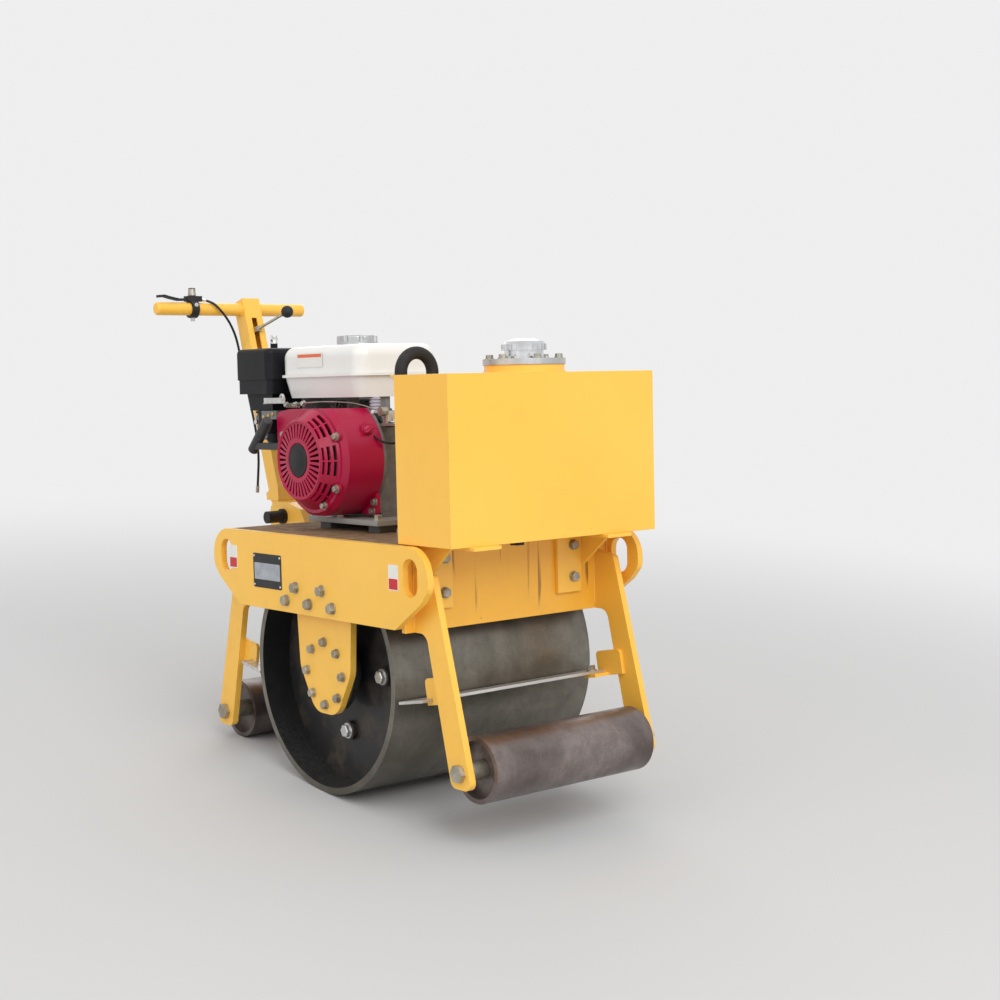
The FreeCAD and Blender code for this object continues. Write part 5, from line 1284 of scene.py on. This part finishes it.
@dataclass
class FrameWelds:
    """The weld beads of the frame, listed by their ends on the left side."""

    # Upright beads that both sides have: x, y, and the heights of their ends
    paired: Sequence[Tuple[float, float, float, float]] = (
        (-205.5, -254.5, 404.0, 316.0), (-192.5, -254.5, 404.0, 316.0), (-205.5, 254.5, 404.0, 316.0),
        (-192.5, 254.5, 404.0, 316.0), (-224.0, -254.5, 440.0, 318.0), (-224.0, 254.5, 440.0, 318.0),
        (-36.5, 254.5, 438.0, 332.0))
    # Level beads: their ends in x, y and height
    level: Sequence[Tuple[float, float, float, float]] = (
        (-186.5, -131.5, -262.5, 446.0), (98.5, 154.5, -262.5, 446.0))

    def build(self) -> None:
        """Make all the beads as one piece."""
        beads = [bead((start, y, z), (end, y, z)) for start, end, y, z in self.level]
        beads += [bead((sign * x, y, top), (sign * x, y, foot))
                  for x, y, top, foot in self.paired for sign in (1.0, -1.0)]
        fit("frame_welds", beads, "yellow_paint")


@dataclass
class ScraperBolts:
    """The bolts that hold the scraper blades to their brackets."""

    blade_foot: Tuple[float, float] = (217.3, 190.0)
    blade_tilt: float = 10.0
    bolt_reach: float = 52.0
    bolt_x: float = 170.0

    def build(self) -> None:
        """Make a bolt at each end of both blades, seated on the tilted blade."""
        tilt = math.radians(self.blade_tilt)
        z = self.blade_foot[1] + self.bolt_reach * math.sin(tilt)
        for word, sign in (("front", -1.0), ("rear", 1.0)):
            y = sign * (self.blade_foot[0] + self.bolt_reach * math.cos(tilt))
            up = (0.0, -sign * math.sin(tilt), math.cos(tilt))
            ends = [(-self.bolt_x, y, z, 12.0), (self.bolt_x, y, z, 31.0)]
            BoltGroup("scraper_bolts_" + word, (13.0, 7.0, 9.5), up, ends).build()


@dataclass
class ControlCable:
    """The cable from the grip lever down beside the column to its hanging end fitting."""

    radius: float = 0.0025
    length: float = 0.4405
    # Route: x, distance back from the hinge, height above the hinge
    route: Sequence[Number3] = (
        (-114.5, 176.0, 440.0), (-92.1, 158.6, 433.3), (-78.3, 150.2, 417.3), (-60.1, 153.9, 398.7),
        (-43.0, 163.4, 379.9), (-30.4, 169.6, 357.4), (-25.4, 168.6, 331.5), (-23.8, 164.0, 305.8),
        (-21.0, 155.5, 281.0), (-21.6, 142.3, 235.0), (-21.0, 126.5, 190.0), (-21.6, 114.5, 147.0),
        (-21.2, 113.0, 109.0), (-21.5, 117.0, 76.0), (-21.4, 120.0, 56.0))
    hinge: Tuple[float, float] = (405.0, 456.0)

    def build(self) -> None:
        places = [LEVEL_TO_PARKED @ Vector((x, self.hinge[0] + back, self.hinge[1] + up))
                  for x, back, up in self.route]
        cable = round_line(places, self.radius, 3, 10)
        cable.name = "control_cable"
        cable.data.name = "control_cable"
        cable.data.materials.append(material_of(CABLE_SHEATH))
        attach(cable, Body.HANDLE.value)
        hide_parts("throttle_cable")
        2 * self.radius
        log.info("control_cable: %d points", len(places))


@dataclass
class Dressing:
    """The finishes of the drawing's own pieces."""

    # Rounding of sheared and welded plate edges by piece, in millimetres
    rounding: Sequence[Tuple[float, Sequence[str]]] = (
        (0.9, ("side_plate_left", "side_plate_right", "tongue_left", "tongue_right", "leg_front_left",
               "leg_front_right", "leg_rear_left", "leg_rear_right", "cross_plate_front", "cross_plate_rear",
               "deck_plate", "hinge_bracket", "handle_column", "tank_straps", "scraper_brackets_front",
               "scraper_brackets_rear", "engine_plate", "engine_rails")),
        (0.8, ("front_tank",)),
        (0.5, ("scraper_front", "scraper_rear")),
        (1.0, ("pump", "muffler")),
    )
    # Edges sharper than this are rounded, in degrees
    sharp: float = 50.0

    def soften(self, thing: bpy.types.Object, width: float) -> None:
        """Round a piece's sharp edges so that they catch the light.

        Args:
            thing: A piece of the drawing.
            width: The width of the rounding in millimetres.
        """
        weld = thing.modifiers.new("weld", "WELD")
        weld.merge_threshold = 0.00001
        rounded = thing.modifiers.new("rounded", "BEVEL")
        rounded.width = width * MM
        rounded.segments = 2
        rounded.limit_method = "ANGLE"
        rounded.angle_limit = math.radians(self.sharp)
        rounded.miter_outer = "MITER_ARC"
        level = thing.modifiers.new("level", "WEIGHTED_NORMAL")
        level.weight = 90
        for face in thing.data.polygons:
            face.use_smooth = True

    def build(self) -> None:
        """Give every piece of the drawing its finish and soft edges."""
        slots = {row["node"]: row["material_slot"] for row in frame["record"]["subparts"]}
        for name, thing in frame["nodes"].items():
            wear(thing, NODE_FINISHES.get(name, SLOT_FINISHES[slots[name]]))
        for width, names in self.rounding:
            for name in names:
                self.soften(frame["nodes"][name], width)
        log.info("dressed %d pieces of the drawing", len(frame["nodes"]))


@dataclass
class Studio:
    """Plain floor, soft light and the camera."""

    floor_size: float = 80.0
    floor_colour: Colour = (0.56, 0.56, 0.56)
    background: float = 0.86
    fade_start: float = 1.1
    fade_end: float = 3.2
    world_light: float = 0.75
    # Name, place, side length and watts
    lamps: Sequence[Tuple[str, Number3, float, float]] = (
        ("key_light", (-1.0, -4.2, 4.2), 4.0, 175.0),
        ("side_light", (-4.6, -0.4, 3.0), 3.5, 42.0),
        ("back_light", (3.0, 4.0, 4.0), 4.0, 70.0))
    lamp_target: Number3 = (0.0, 0.0, 0.4)

    def build(self) -> None:
        """Make the floor, the world and the lamps."""
        leave_all()
        bpy.ops.mesh.primitive_plane_add(size=self.floor_size, location=(0.0, 0.0, 0.0))
        floor = bpy.context.object
        floor.name = "floor"
        floor.data.materials.append(self.floor_material())
        self.light_world()
        for name, place, size, watts in self.lamps:
            self.lamp(name, place, size, watts)

    def floor_material(self) -> bpy.types.Material:
        """Return the floor's plain paint, which turns into the background with distance."""
        s = Shader("floor")
        away = s.node("ShaderNodeVectorMath", {"operation": "LENGTH"}, {0: s.place()}, "Value")
        share = away.ramp(self.fade_start, self.fade_end) * s.seen()
        glow = s.node("ShaderNodeEmission", {}, {"Color": (self.background,) * 3, "Strength": 1.0})
        both = s.node("ShaderNodeMixShader", {}, {0: share, 1: Signal(s, s.surface.outputs[0]), 2: glow})
        s.links.new(both.socket, s.nodes["Material Output"].inputs["Surface"])
        return s.done(base_color=self.floor_colour, roughness=0.9)

    def light_world(self) -> None:
        """Light the scene evenly, with the plain background for what the camera and reflections see."""
        world = bpy.data.worlds.new("studio")
        bpy.context.scene.world = world
        world.use_nodes = True
        g = NodeGraph(world.node_tree)
        light = g.nodes["Background"]
        light.inputs["Color"].default_value = (1.0, 1.0, 1.0, 1.0)
        light.inputs["Strength"].default_value = self.world_light
        shown = g.node("ShaderNodeBackground", {}, {"Color": (self.background,) * 3, "Strength": 1.0})
        both = g.node("ShaderNodeMixShader", {}, {0: g.seen(), 1: Signal(g, light.outputs[0]), 2: shown})
        g.links.new(both.socket, g.nodes["World Output"].inputs["Surface"])

    def lamp(self, name: str, place: Number3, size: float, watts: float) -> None:
        """Hang a square lamp that points at the machine."""
        leave_all()
        bpy.ops.object.light_add(type="AREA", location=place)
        lamp = bpy.context.object
        lamp.name = name
        lamp.data.size = size
        lamp.data.energy = watts
        lamp.rotation_euler = (Vector(self.lamp_target) - Vector(place)).to_track_quat("-Z", "Y").to_euler()

    def camera(self) -> None:
        """Place the camera where the photograph was taken from."""
        data = bpy.data.cameras.new("photo_camera")
        data.lens = FOCAL_LENGTH_MM
        data.sensor_fit = "HORIZONTAL"
        data.sensor_width = SENSOR_WIDTH_MM
        camera = bpy.data.objects.new("photo_camera", data)
        bpy.context.scene.collection.objects.link(camera)
        turn = Matrix((CAMERA_RIGHT, CAMERA_UP, CAMERA_BACK)).transposed().to_4x4()
        lean = Matrix.Rotation(LEAN, 4, "X")
        camera.matrix_world = Matrix.Translation(LEVEL_TO_PARKED @ Vector(CAMERA_PLACE)) @ lean @ turn
        bpy.context.scene.camera = camera
        bpy.context.scene.view_settings.view_transform = "Standard"


def main() -> None:
    """Build the machine's pieces in order and report them."""
    logging.basicConfig(level=logging.INFO, format="%(name)s: %(message)s")
    studio = Studio()
    studio.camera()
    ControlCable().build()
    Dressing().build()
    for part in (FrameFasteners(), SidePlateTrim(), EngineTrim(), Carburation(), HiddenSide(), HandleTrim(),
                 TankTrim(), FrameWelds(), ScraperBolts()):
        part.build()
    studio.build()


if __name__ == "__main__":
    main()
